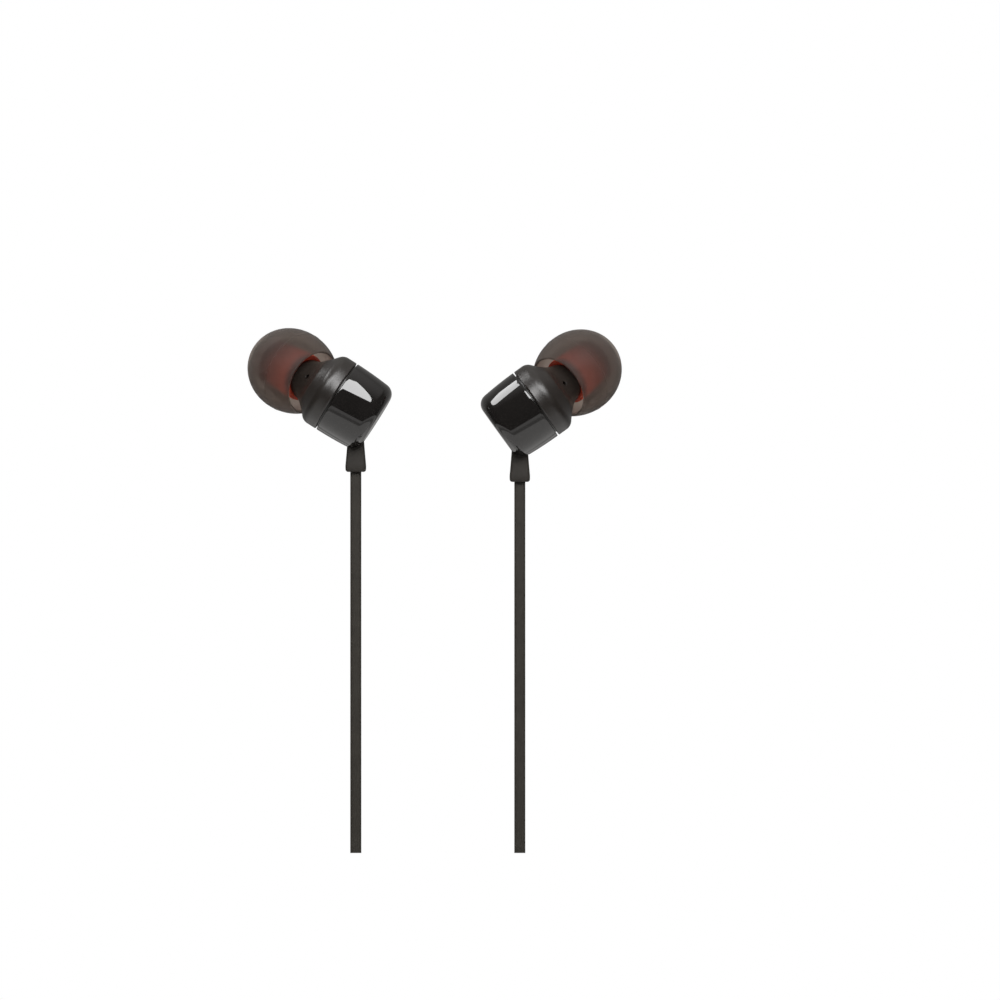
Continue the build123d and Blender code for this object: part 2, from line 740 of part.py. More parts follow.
def plug_grip():
    """The moulded handle: a slim barrel, waisted for the fingers, over the contacts' tails."""
    waist = ThreePointArc((grip_r, 3.0), (grip_r - 0.35, grip_length / 2), (grip_r, grip_length - 2.0))
    base = Polyline((0, 0), (grip_r - 0.5, 0), (grip_r, 0.5), (grip_r, 3.0))
    crown = ThreePointArc((grip_r, grip_length - 2.0), (grip_r - 0.4, grip_length - 0.6),
                          (grip_r - 1.3, grip_length))
    top = Polyline((grip_r - 1.3, grip_length), (0, grip_length), (0, 0))
    body = turned(base.edges() + waist.edges() + crown.edges() + top.edges())
    room = rod(collar_r + fit, -1, collar_height + fit)
    room += rod(flange_r + fit, flange_low - fit, flange_high + fit)
    room += rod(nested_radii(2)[1] + 2 * fit, 0, contact_tail + 1)
    bore = lead_section(trunk_width, trunk_thickness, trunk_corner, [], lead_slot_gap)
    slot = Rot(0, 0, hank_turn - 90) * Pos(0, 0, contact_tail + 0.5) * extrude(bore, grip_length)
    return plug_at * (body - room - slot)


def plug_relief():
    """Flexible tail above the grip, cut by cross slots so that it bends with the cable."""
    low = grip_length
    body = Pos(0, 0, low) * extrude(Circle(relief_base_r), relief_length,
                                    taper=degrees(asin((relief_base_r - relief_top_r) / relief_length)))
    for k in range(relief_slots):
        level = low + 1.6 + k * 1.7
        turn = 90 * (k % 2)
        for side in (-1, 1):
            cut = block((1.3, 4), (-2.2, 2.2), (level - 0.25, level + 0.25))
            body -= Rot(0, 0, hank_turn + turn) * Rot(0, 0, 90 * (side - 1)) * cut
    bore = lead_section(trunk_width, trunk_thickness, trunk_corner, [], lead_slot_gap)
    slot = Rot(0, 0, hank_turn - 90) * Pos(0, 0, low - 1) * extrude(bore, relief_length + 2)
    return plug_at * (body - slot)


shared_parts = {
    "left_lead": left_lead,
    "left_lead_wires": left_lead_wires,
    "right_lead_upper": right_lead_upper,
    "right_lead_lower": right_lead_lower,
    "right_lead_wires": right_lead_wires,
    "remote_front": remote_front,
    "remote_rear": remote_rear,
    "remote_button": remote_button,
    "remote_board": remote_board,
    "remote_switch": remote_switch,
    "remote_plunger": remote_plunger,
    "remote_microphone": remote_microphone,
    "splitter": splitter,
    "trunk_cable": trunk_cable,
    "trunk_wires": trunk_wires,
    "cable_tie": cable_tie,
    "plug_grip": plug_grip,
    "plug_relief": plug_relief,
    "plug_sleeve": plug_sleeve,
    "plug_ring_1": plug_ring_1,
    "plug_ring_2": plug_ring_2,
    "plug_tip": plug_tip,
    "plug_insulators": plug_insulators,
}


def write(node, shape):
    """Moves a finished part into the row frame and writes it as one STEP file."""
    export_step(Pos(-plug_x, -plug_y, -plug_seat_z) * shape, f"parts/{node}.step")


for name, make in housing_parts.items():
    drawn = make()
    for side in ("left", "right"):
        write(f"{side}_{name}", hung(housing_place(side) * drawn, side))

for name, make in hanging_parts.items():
    for side in ("left", "right"):
        write(f"{side}_{name}", hung(make(housing_place(side)), side))

for name, make in shared_parts.items():
    write(name, make())
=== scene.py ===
"""Looks for the wired earphones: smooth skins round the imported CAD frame,
materials, soft light and the camera."""
import json
import math

import bmesh
import bpy
import numpy as np
from mathutils import Matrix, Vector


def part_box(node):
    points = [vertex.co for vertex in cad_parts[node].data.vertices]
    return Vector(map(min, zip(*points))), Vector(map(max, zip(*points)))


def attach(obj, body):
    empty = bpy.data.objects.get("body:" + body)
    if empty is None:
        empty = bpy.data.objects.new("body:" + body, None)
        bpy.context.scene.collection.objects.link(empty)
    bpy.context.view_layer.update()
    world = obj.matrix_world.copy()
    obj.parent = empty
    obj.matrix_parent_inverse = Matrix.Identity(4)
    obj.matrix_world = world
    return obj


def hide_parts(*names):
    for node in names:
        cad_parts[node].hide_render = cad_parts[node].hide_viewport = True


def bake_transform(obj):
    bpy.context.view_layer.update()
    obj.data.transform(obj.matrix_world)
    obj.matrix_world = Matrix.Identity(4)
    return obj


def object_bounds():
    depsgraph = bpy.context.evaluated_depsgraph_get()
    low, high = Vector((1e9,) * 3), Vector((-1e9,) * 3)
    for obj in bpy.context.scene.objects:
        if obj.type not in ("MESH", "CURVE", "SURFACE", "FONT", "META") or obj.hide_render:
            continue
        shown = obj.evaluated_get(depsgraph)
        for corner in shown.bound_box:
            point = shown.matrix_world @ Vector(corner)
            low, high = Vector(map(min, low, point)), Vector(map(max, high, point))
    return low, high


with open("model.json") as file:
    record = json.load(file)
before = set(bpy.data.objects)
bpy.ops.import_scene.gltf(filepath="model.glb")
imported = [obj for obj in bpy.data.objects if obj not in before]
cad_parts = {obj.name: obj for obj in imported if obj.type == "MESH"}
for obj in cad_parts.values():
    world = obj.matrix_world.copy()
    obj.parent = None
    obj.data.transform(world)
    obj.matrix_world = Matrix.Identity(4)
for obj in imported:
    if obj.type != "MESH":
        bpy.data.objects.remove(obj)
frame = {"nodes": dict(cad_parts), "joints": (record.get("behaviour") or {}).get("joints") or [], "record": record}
cad_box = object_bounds()

# Lengths are in millimetres in each part's own frame, and become metres where a mesh is made.
MM = 0.001
SEGMENTS = 160                # points round a turned skin

# ---- places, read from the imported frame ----
JOINTS = {joint["name"]: joint for joint in frame["joints"]}


def row_mm(point):
    return Vector(point) / MM


EXITS = {side: row_mm(JOINTS[f"{side}_bud_swing"]["pos_m"]) for side in ("left", "right")}
LAYOUT = Vector(((EXITS["left"].x + EXITS["right"].x) / 2, EXITS["left"].y, EXITS["left"].z))
HALF_SPACING = (EXITS["right"].x - EXITS["left"].x) / 2

# ---- housings, along the housing axis from the parting seam ----
BARREL_R, SEAM_GAP = 5.78, 0.24
BARREL_BACK, BARREL_BACK_R, BARREL_CORNER = 7.05, 5.36, 1.7
WALL = 0.9
SPIGOT_R, SPIGOT_LENGTH = 5.13, 1.8
SPIGOT_GAP, SOCKET_CLEARANCE = 0.1, 0.03
SEAM_EDGE = 0.1
SHOULDER_START, SHOULDER_R = 1.55, 1.6
SHOULDER_TURN = math.radians(50)    # how far the shoulder turns before the cone
CONE_END = (3.9, 3.875)
DOME_TOP = 4.75
CUP_BORE_R, CUP_FLOOR = 4.65, 2.2

# ---- nozzle, along its own axis from where it crosses the housing axis ----
NOZZLE_ROOT = 1.38
NECK_R, NECK_END, NECK_EDGE = 3.1, 5.1, 0.2
NECK_BLEND = 1.9              # size of the soft fillet between cup and neck
STEM_R, STEM_END = 2.75, 10.6
BARB_R, BARB_START, BARB_END, BARB_RAMP = 2.85, 8.9, 10.1, 0.1
BORE_R, GUARD_R, GUARD_DEPTH = 1.9, 2.27, 0.25
VENT_ALONG, VENT_R, VENT_DEPTH, VENT_BLEND = 2.35, 0.26, 0.7, 0.2

# ---- ear tip, along the nozzle axis from its rear rim ----
RIM_ALONG = 3.74
TIP_R, TIP_WIDEST, TIP_LENGTH, TIP_REACH = 6.33, 4.56, 11.0, 7.04
RIM_R = 5.1
SKIN_RIM, SKIN_WIDE, SKIN_FRONT = 0.38, 0.5, 0.85
SOUND_HOLE_R = 2.0
BEAD_ALONG, BEAD_HEIGHT, BEAD_HALF = 3.74, 0.03, 0.07    # the mould's parting line
CORE_R, CORE_FRONT_R, CORE_FRONT = 3.65, 3.3, 9.6
CORE_GAP, CORE_CLEARANCE = 0.05, 0.03
CORE_BORE_END, CORE_CLOSING = 11.1, 0.05

# ---- boots, leads, splitter and trunk, from a lead's exit ----
BOOT_LOW, BOOT_TOP, BOOT_HEIGHT = (3.06, 2.5), (2.4, 2.1), 5.2
BOOT_SWELL, BOOT_TUCK, BOOT_CURVE = 0.9, 0.1, 1.2
BOOT_CORNER, BOOT_LIP, BOOT_SLOT = 0.42, 0.34, 0.06
LEAD_WIDTH, LEAD_THICKNESS, LEAD_CORNER = 1.65, 0.95, 0.38
WIRE_R, WIRE_OFFSET, WIRE_STRIP = 0.2, 0.4, 0.5      # conductors, and how far they show past a lead's end
SWING_STRETCH = 8.0           # length of lead that bends when a bud swings
REMOTE_TOP, REMOTE_LENGTH, CABLE_ENTRY = -59.5, 27.0, 2.6
CONVERGE_TOP, CONVERGE_BOTTOM, LEAD_PAIR, SPLIT_LEVEL = -88.5, -107.0, 1.1, -112.0
SPLITTER_TOP, SPLITTER_BOTTOM = -105.5, -118.0
SPLITTER_WIDTH, SPLITTER_DEPTH, SPLITTER_NECK = 5.6, 2.8, 3.5
SPLITTER_EASE, GROOVE_DEPTH, GROOVE_LEVELS = 0.45, 0.22, (1.6, 2.7, 3.8)
TRUNK_WIDTH, TRUNK_THICKNESS = 2.1, 0.95
HANK_TURN, HANK_LAYERS, HANK_PITCH, HANK_CORE = math.radians(45), 5, 1.2, 3.0
HANK_LOW, HANK_HIGH, SPLITTER_BEND, PLUG_BEND = -121.0, -71.0, 4.0, 4.5
TRUNK_END = -90.5
TIE_LEVEL, TIE_HEIGHT, TIE_WALL = -96.0, 7.0, 0.7
TIE_FLAT, RIB_HEIGHT, RIB_COUNT = 0.44, 0.05, 9

# ---- camera ----
FRAME_WIDTH = 150.0           # width of the picture at the leads' plane
AIM = Vector((9.33, 0, -4.215))   # the picture's middle, from the layout's origin
LENS, SENSOR = 135.0, 36.0
PANEL_AWAY, PANEL_STEPS = 0.5, 12    # softbox distance in metres, and its divisions each way
KEY_STRENGTH, SIDE_STRENGTH = 14.4, 11
DIFFUSE_SHARE = 0.4           # how much of a softbox's light matt surfaces get
GROUND_GAIN, DARKEST = 1.32, 0.055    # reflections: brightness of the ground, and of the darkest part
CARD_AHEAD, CARD_SEEN_WITHIN = 0.03, 0.05    # metres from the lens
CROP_BELOW = 52.95            # the picture ends this far below its middle


# ======================= meshes =======================
def mesh_piece(name, points, faces, at=Matrix.Identity(4), sharp=35, uvs=None):
    """A mesh object from points in millimetres in the frame `at`, smooth except at sharp edges."""
    mesh = bpy.data.meshes.new(name)
    placed = [(at @ Vector(p)) * MM for p in points]
    mesh.from_pydata(placed, [], faces)
    if uvs is not None:
        layer = mesh.uv_layers.new(name="along")
        for loop in mesh.loops:
            layer.data[loop.index].uv = uvs[loop.vertex_index]
    mesh.validate()
    mesh.polygons.foreach_set("use_smooth", [True] * len(mesh.polygons))
    mesh.set_sharp_from_angle(angle=math.radians(sharp))
    piece = bpy.data.objects.new(name, mesh)
    bpy.context.scene.collection.objects.link(piece)
    return piece


def grid_faces(rings, around, close_rings):
    """Quads between neighbouring rings of points; the last ring meets the first when close_rings is set."""
    faces = []
    for i in range(rings if close_rings else rings - 1):
        j = (i + 1) % rings
        for k in range(around):
            m = (k + 1) % around
            faces.append([i * around + k, i * around + m, j * around + m, j * around + k])
    return faces


def ring_skin(name, rings, at=Matrix.Identity(4), closed=True, sharp=35, uvs=None):
    """A skin over equal rings of points: a closed loop of rings, or a stack with capped ends."""
    around = len(rings[0])
    points = [p for ring in rings for p in ring]
    faces = grid_faces(len(rings), around, closed)
    if not closed:
        faces.append(list(range(around))[::-1])
        last = (len(rings) - 1) * around
        faces.append([last + k for k in range(around)])
    piece = mesh_piece(name, points, faces, at, sharp, uvs)
    if volume(piece.data) < 0:
        piece.data.flip_normals()
    return piece


def volume(mesh):
    """Signed volume, positive when the faces look outwards."""
    total = 0.0
    for face in mesh.polygons:
        corners = [mesh.vertices[k].co for k in face.vertices]
        for k in range(1, len(corners) - 1):
            total += corners[0].dot(corners[k].cross(corners[k + 1]))
    return total / 6


def circle(radius, height, around=SEGMENTS):
    turn = 2 * math.pi / around
    return [(radius * math.cos(k * turn), radius * math.sin(k * turn), height) for k in range(around)]


def running_length(points):
    """Each point's distance from the first, along the points."""
    lengths = [0.0]
    for a, b in zip(points, points[1:]):
        lengths.append(lengths[-1] + math.dist(a, b))
    return lengths


def lathe(name, outline, at, sharp=35):
    """A turned skin from a closed (radius, height) outline; its second UV runs along the outline."""
    uvs = [(k / SEGMENTS, run) for run in running_length(outline) for k in range(SEGMENTS)]
    return ring_skin(name, [circle(r, z) for r, z in outline], at, True, sharp, uvs)


def arc(centre, radius, first, last, steps):
    """Points along an arc, angles in degrees from the first axis."""
    angles = [math.radians(first + (last - first) * k / steps) for k in range(steps + 1)]
    return [(centre[0] + radius * math.cos(a), centre[1] + radius * math.sin(a)) for a in angles]


def span(first, last, steps):
    return [first + (last - first) * k / steps for k in range(steps + 1)]


def rounded_rectangle(width, depth, corner, steps=6):
    """A rounded rectangle's points, anticlockwise from its right-hand side."""
    points = []
    for x, y, start in ((1, -1, -90), (1, 1, 0), (-1, 1, 90), (-1, -1, 180)):
        centre = (x * (width / 2 - corner), y * (depth / 2 - corner))
        points += arc(centre, corner, start, start + 90, steps)
    return points


# ======================= buds =======================
def upright(z_axis, x_axis, origin):
    """A frame whose Z follows z_axis and whose X follows x_axis."""
    z, x = Vector(z_axis).normalized(), Vector(x_axis).normalized()
    rotation = Matrix((x, z.cross(x), z)).transposed()
    return Matrix.Translation(origin) @ rotation.to_4x4()


def box_middle(node):
    low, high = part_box(node)
    return row_mm((low + high) / 2)


COIL_MIDDLE = 0.01            # the voice coil's middle lies this far in front of the seam


def bud_axes(side):
    """The housing's axis, the nozzle's axis, and the direction square to both."""
    housing = Vector(JOINTS[f"{side}_diaphragm_travel"]["axis"]).normalized()
    nozzle = Vector(JOINTS[f"{side}_ear_tip_pull"]["axis"]).normalized()
    return housing, nozzle, nozzle.cross(housing).normalized()


def housing_frame(side):
    axis, _, across = bud_axes(side)
    return upright(axis, across, box_middle(f"{side}_driver_voice_coil") - axis * COIL_MIDDLE)


def nozzle_frame(side):
    _, nozzle, across = bud_axes(side)
    return upright(nozzle, across, housing_frame(side) @ Vector((0, 0, NOZZLE_ROOT)))


def barrel_outline():
    """Section of the rear housing: eased seam edge, barrelled side, round corner, hollow inside."""
    seam = -SEAM_GAP / 2
    drop = BARREL_BACK + seam
    inset = BARREL_R - BARREL_BACK_R
    side_r = (drop ** 2 + inset ** 2) / (2 * inset)
    side_centre = BARREL_R - side_r
    corner_z = -BARREL_BACK + BARREL_CORNER
    corner_r = side_centre + math.sqrt((side_r - BARREL_CORNER) ** 2 - (corner_z - seam) ** 2)
    turn = math.degrees(math.asin((seam - corner_z) / (side_r - BARREL_CORNER)))
    edge = arc((BARREL_R - SEAM_EDGE, seam - SEAM_EDGE), SEAM_EDGE, 90, 0, 5)
    first = math.degrees(math.asin(SEAM_EDGE / side_r))
    side = arc((side_centre, seam), side_r, -first, -turn, 24)
    corner = arc((corner_r, corner_z), BARREL_CORNER, -turn, -90, 28)
    back = [(r, -BARREL_BACK) for r in (corner_r * 0.8, corner_r * 0.5, 0.01)]
    inner_back = -BARREL_BACK + WALL
    inner_r = BARREL_R - WALL
    step = -SPIGOT_LENGTH - SPIGOT_GAP
    socket_r = SPIGOT_R + SOCKET_CLEARANCE
    inside = [(0.01, inner_back), (inner_r - 1.1, inner_back), (inner_r - 0.2, inner_back + 1.1)]
    inside += [(inner_r, step), (socket_r, step), (socket_r, seam)]
    return edge + side[1:] + corner[1:] + back + inside


def cut(piece, cutter):
    """Subtracts cutter from piece and removes it."""
    modifier = piece.modifiers.new("cut", "BOOLEAN")
    modifier.object = cutter
    modifier.operation = "DIFFERENCE"
    modifier.solver = "EXACT"
    bpy.context.view_layer.update()
    result = bpy.data.meshes.new_from_object(piece.evaluated_get(bpy.context.evaluated_depsgraph_get()))
    piece.modifiers.clear()
    piece.data = result
    bpy.data.objects.remove(cutter)


def boot_frame(side):
    return Matrix.Translation(EXITS[side])


def boot_size(height):
    """Width and depth of the boot: slim at the top, flaring to a swell a little above its mouth."""
    above = max(0.0, 1 - max(height, BOOT_SWELL) / BOOT_HEIGHT)
    full = 1 - BOOT_SWELL / BOOT_HEIGHT
    flare = above ** BOOT_CURVE / full ** BOOT_CURVE
    tuck = BOOT_TUCK * max(0.0, 1 - height / BOOT_SWELL) ** 2
    return [top + (low - top) * flare - tuck for low, top in zip(BOOT_LOW, BOOT_TOP)]


def boot_ring(height, grow=0.0):
    width, depth = boot_size(max(height, 0))
    section = rounded_rectangle(width + 2 * grow, depth + 2 * grow, BOOT_CORNER + grow)
    return [(x, y, height) for x, y in section]


def lead_ring(height, grow):
    section = rounded_rectangle(LEAD_WIDTH + 2 * grow, LEAD_THICKNESS + 2 * grow, LEAD_CORNER)
    return [(x, y, height) for x, y in section]


def boot_skin(side):
    """The strain relief: rounded lip, flared shank, and a slot that the lead enters."""
    turns = span(0, math.pi / 2, 7)
    rings = [boot_ring(BOOT_LIP * (1 - math.cos(a)), -BOOT_LIP * (1 - math.sin(a))) for a in turns]
    rings += [boot_ring(z) for z in span(BOOT_LIP + 0.2, BOOT_HEIGHT, 20)]
    mouth = [lead_ring(0, 0.22), lead_ring(0.08, 0.1), lead_ring(0.5, BOOT_SLOT), lead_ring(1.6, BOOT_SLOT)]
    top_inner = [lead_ring(BOOT_HEIGHT, BOOT_SLOT)]
    return ring_skin(f"{side}_boot_skin", rings + top_inner + mouth[::-1], boot_frame(side), True, 40)


def barrel_skin(side):
    """The rear housing, with a notch that the boot sits in."""
    barrel = lathe(f"{side}_barrel_skin", barrel_outline(), housing_frame(side))
    gap = 0.1
    rings = [boot_ring(z, gap) for z in span(-1.0, BOOT_HEIGHT + 2, 12)]
    cutter = ring_skin("cutter", rings, boot_frame(side), False)
    cut(barrel, cutter)
    barrel.data.set_sharp_from_angle(angle=math.radians(30))
    return barrel


def polygon_distance(r, z, corners):
    """Signed distance from points to a convex outline, in the half plane of radius and height."""
    nearest = np.full(r.shape, 1e9)
    inside = np.full(r.shape, -1e9)
    for (r0, z0), (r1, z1) in zip(corners, corners[1:]):
        er, ez = r1 - r0, z1 - z0
        length = math.hypot(er, ez)
        t = np.clip(((r - r0) * er + (z - z0) * ez) / length ** 2, 0, 1)
        nearest = np.minimum(nearest, np.hypot(r - r0 - t * er, z - z0 - t * ez))
        inside = np.maximum(inside, ((r - r0) * ez - (z - z0) * er) / length)
    return np.where(inside > 0, nearest, inside)


def cup_distance(points):
    """Distance to the cup: a core outline grown by the shoulder's radius."""
    cone = Vector((CONE_END[0] - BARREL_R + SHOULDER_R * (1 - math.cos(SHOULDER_TURN)),
                   CONE_END[1] - SHOULDER_START - SHOULDER_R * math.sin(SHOULDER_TURN))).normalized()
    normal = Vector((cone.y, -cone.x))
    core = [(BARREL_R - SHOULDER_R, -9), (BARREL_R - SHOULDER_R, SHOULDER_START),
            (CONE_END[0] - SHOULDER_R * normal.x, CONE_END[1] - SHOULDER_R * normal.y),
            (0, DOME_TOP - SHOULDER_R), (-3, DOME_TOP - SHOULDER_R)]
    radial = np.hypot(points[:, 0], points[:, 1])
    return polygon_distance(radial, points[:, 2], core) - SHOULDER_R


NOZZLE_LEAN = math.acos(Vector(JOINTS["left_diaphragm_travel"]["axis"]).dot(
    Vector(JOINTS["left_ear_tip_pull"]["axis"])))


def to_nozzle(points):
    """Points from the housing's frame to the nozzle's, which leans away from the viewer."""
    y, z = points[:, 1], points[:, 2] - NOZZLE_ROOT
    c, s = math.cos(NOZZLE_LEAN), math.sin(NOZZLE_LEAN)
    return np.column_stack([points[:, 0], y * c - z * s, y * s + z * c])


def from_nozzle(x, y, q):
    c, s = math.cos(NOZZLE_LEAN), math.sin(NOZZLE_LEAN)
    return (x, y * c + q * s, NOZZLE_ROOT - y * s + q * c)


def neck_distance(local):
    radial = np.hypot(local[:, 0], local[:, 1])
    out_r = radial - (NECK_R - NECK_EDGE)
    out_q = local[:, 2] - (NECK_END - NECK_EDGE)
    outside = np.hypot(np.maximum(out_r, 0), np.maximum(out_q, 0))
    return outside + np.minimum(np.maximum(out_r, out_q), 0) - NECK_EDGE


def vent_distance(local):
    """Distance to the small round vent on the neck's near side."""
    across = np.hypot(local[:, 0], local[:, 2] - VENT_ALONG)
    return np.maximum(across - VENT_R, local[:, 1] + NECK_R - VENT_DEPTH)


def soft_union(a, b, size):
    h = np.clip(0.5 + 0.5 * (b - a) / size, 0, 1)
    return b + (a - b) * h - size * h * (1 - h)


def cup_field(points):
    local = to_nozzle(points)
    body = soft_union(cup_distance(points), neck_distance(local), NECK_BLEND)
    return -soft_union(-body, vent_distance(local), VENT_BLEND)


def field_ring(centre, tilt):
    """Where a plane through the cup, tilted towards the nozzle, meets the skin."""
    angles = np.arange(SEGMENTS) * 2 * math.pi / SEGMENTS
    sines = np.sin(angles)
    across = np.column_stack([np.cos(angles), sines * math.cos(tilt), -sines * math.sin(tilt)])
    low, high = np.zeros(SEGMENTS), np.full(SEGMENTS, 9.0)
    for _ in range(24):
        middle = (low + high) / 2
        inside = cup_field(np.array(centre) + across * middle[:, None]) < 0
        low, high = np.where(inside, middle, low), np.where(inside, high, middle)
    return [tuple(p) for p in np.array(centre) + across * low[:, None]]


def cup_rings():
    """Rings from the seam over the shoulder and up the neck, turning from one axis to the other."""
    seam = SEAM_GAP / 2
    edge = [circle(r, z) for r, z in arc((BARREL_R - SEAM_EDGE, seam + SEAM_EDGE), SEAM_EDGE, -90, 0, 5)]
    first, last = seam + 2 * SEAM_EDGE, NECK_END - 0.02
    total = NOZZLE_ROOT - first + last
    rings = []
    for s in span(0, total, 110):
        share = s / total
        tilt = NOZZLE_LEAN * share * share * (3 - 2 * share)
        if first + s < NOZZLE_ROOT:
            centre = (0, 0, first + s)
        else:
            centre = from_nozzle(0, 0, first + s - NOZZLE_ROOT)
        rings.append(field_ring(centre, tilt))
    return edge + rings


def nozzle_ring(radius, along):
    return [from_nozzle(x, y, q) for x, y, q in circle(radius, along)]


def cup_skin(side):
    """The matt cup with its neck, barbed stem, bore, cavity and spigot, as one closed skin."""
    guard_floor = STEM_END - GUARD_DEPTH
    stem = [(STEM_R, NECK_END), (STEM_R, BARB_START - BARB_RAMP), (BARB_R, BARB_START)]
    stem += [(BARB_R, BARB_END - BARB_RAMP), (STEM_R, BARB_END), (STEM_R, STEM_END - 0.12)]
    stem += [(STEM_R - 0.04, STEM_END - 0.04), (STEM_R - 0.12, STEM_END), (GUARD_R + 0.02, STEM_END)]
    stem += [(GUARD_R, STEM_END - 0.02), (GUARD_R, guard_floor), (BORE_R, guard_floor), (BORE_R, 2.6)]
    cavity = [(CUP_BORE_R - 1.25, CUP_FLOOR + 0.8), (CUP_BORE_R - 0.95, CUP_FLOOR), (CUP_BORE_R, CUP_FLOOR),
              (CUP_BORE_R, -SPIGOT_LENGTH), (SPIGOT_R, -SPIGOT_LENGTH), (SPIGOT_R, SEAM_GAP / 2)]
    rings = cup_rings() + [nozzle_ring(r, q) for r, q in stem] + [circle(r, z) for r, z in cavity]
    return ring_skin(f"{side}_cup_skin", rings, housing_frame(side), True, 32)


def tip_arc(radius, reach, start, end, steps=22):
    """Points on an ellipse about the tip's widest level, between two heights above that level."""
    first, last = math.asin(start / reach), math.asin(end / reach)
    return [(radius * math.cos(a), TIP_WIDEST + reach * math.sin(a)) for a in span(first, last, steps)]


def reach_for(radius, end_radius, height):
    return height / math.sqrt(1 - (end_radius / radius) ** 2)


def dome_outline():
    """Section of the dome: rolled rim, parting line, rounded nose, and a thin inside."""
    inner_r, inner_rim = TIP_R - SKIN_WIDE, RIM_R - SKIN_RIM
    inner_reach = TIP_REACH - SKIN_FRONT
    rear_reach = reach_for(TIP_R, RIM_R, TIP_WIDEST)
    level = BEAD_ALONG - TIP_WIDEST
    rear = tip_arc(TIP_R, rear_reach, -TIP_WIDEST, level - BEAD_HALF)
    bead = []
    for a in span(0, math.pi, 8):
        height = level + BEAD_HALF * (2 * a / math.pi - 1)
        radius = TIP_R * math.sqrt(1 - (height / rear_reach) ** 2) + BEAD_HEIGHT * math.sin(a)
        bead.append((radius, TIP_WIDEST + height))
    rear += bead[1:-1] + tip_arc(TIP_R, rear_reach, level + BEAD_HALF, 0, 6)[:-1]
    nose_r = 0.5
    front = tip_arc(TIP_R, TIP_REACH, 0, TIP_LENGTH - TIP_WIDEST - nose_r, 26)
    nose_centre = (SOUND_HOLE_R + nose_r, TIP_LENGTH - nose_r)
    nose = arc(nose_centre, nose_r, 60, 180, 8)
    hole = [(SOUND_HOLE_R, CORE_FRONT), (CORE_FRONT_R, CORE_FRONT)]
    meet = inner_reach * math.sqrt(1 - (CORE_FRONT_R / inner_r) ** 2)
    inside = tip_arc(inner_r, inner_reach, 0, meet, 16)[::-1]
    inside += tip_arc(inner_r, reach_for(inner_r, inner_rim, TIP_WIDEST), -TIP_WIDEST, 0, 16)[::-1][1:]
    rim = arc(((RIM_R + inner_rim) / 2, 0), SKIN_RIM / 2, 180, 360, 8)[1:-1]
    return rear + front + nose + hole + inside + rim


def tip_frame(side):
    return nozzle_frame(side) @ Matrix.Translation((0, 0, RIM_ALONG))


def dome_skin(side):
    return lathe(f"{side}_tip_dome", dome_outline(), tip_frame(side), 50)


def core_skin(side):
    """The red tube inside the dome: slightly flared and rounded at its open end."""
    back = NECK_END + CORE_GAP - RIM_ALONG
    bore, bore_end = BARB_R + CORE_CLEARANCE, CORE_BORE_END - RIM_ALONG
    inner_reach, inner_r = TIP_REACH - SKIN_FRONT, TIP_R - SKIN_WIDE
    meet = TIP_WIDEST + inner_reach * math.sqrt(1 - (CORE_FRONT_R / inner_r) ** 2)
    lip = (CORE_R - bore) / 2
    outline = arc((bore + lip, back + lip), lip, 180, 360, 10)
    outline += [(CORE_R, back + 1), (CORE_FRONT_R, meet), (CORE_FRONT_R, CORE_FRONT)]
    outline += [(SOUND_HOLE_R, CORE_FRONT), (SOUND_HOLE_R, bore_end), (bore, bore_end)]
    # The closing face, where the UV drops back to zero, is only this long, so the bore doesn't take the red
    # rubber's painted glow.
    outline.append((bore, back + lip + CORE_CLOSING))
    return lathe(f"{side}_tip_core", outline, tip_frame(side), 40)


# ======================= cables =======================
def strip(name, path, section):
    """A flat cable: a section carried along (point, width, thickness, distance) stations."""
    rings, uvs = [], []
    lengths = running_length(section)
    for point, wide, thick, run in path:
        rings.append([point + wide * x + thick * y for x, y in section])
        uvs += [(length, run) for length in lengths]
    return ring_skin(name, rings, Matrix.Translation(LAYOUT), False, 60, uvs)


def with_runs(stations):
    """Adds each station's distance along the path."""
    result, run, before = [], 0.0, stations[0][0]
    for point, wide, thick in stations:
        run += (point - before).length
        before = point
        result.append((point, wide, thick, run))
    return result


def straight_stations(x, levels):
    return [(Vector((x, 0, z)), Vector((1, 0, 0)), Vector((0, 1, 0))) for z in levels]


def exit_levels(exit_z, low):
    """Levels from inside the boot down: close together where the lead bends, then wider apart."""
    fine = span(exit_z + 1.5, exit_z - SWING_STRETCH - 1, 46)
    return fine + span(fine[-1], low, 60)[1:]


def converging_stations(side, top):
    """Straight down, an even S-bend inwards, then straight into the splitter."""
    sign = -1 if side == "left" else 1
    half = Vector(((LEAD_PAIR - HALF_SPACING) / 2, (CONVERGE_BOTTOM - CONVERGE_TOP) / 2))
    radius = half.length_squared / (2 * abs(half.x))
    turn = math.asin(abs(half.y) / radius)
    outer, inner = HALF_SPACING, LEAD_PAIR
    stations = []
    for a in span(0, turn, 24):
        stations.append((outer - radius * (1 - math.cos(a)), CONVERGE_TOP - radius * math.sin(a), a))
    for a in span(turn, 0, 24)[1:]:
        stations.append((inner + radius * (1 - math.cos(a)), CONVERGE_BOTTOM + radius * math.sin(a), a))
    stations.append((inner, SPLIT_LEVEL, 0))
    bend = [(Vector((sign * x, 0, z)), Vector((math.cos(a), 0, -sign * math.sin(a))), Vector((0, 1, 0)))
            for x, z, a in stations]
    return top + bend


def lead_section():
    return rounded_rectangle(LEAD_WIDTH, LEAD_THICKNESS, LEAD_CORNER, 5)


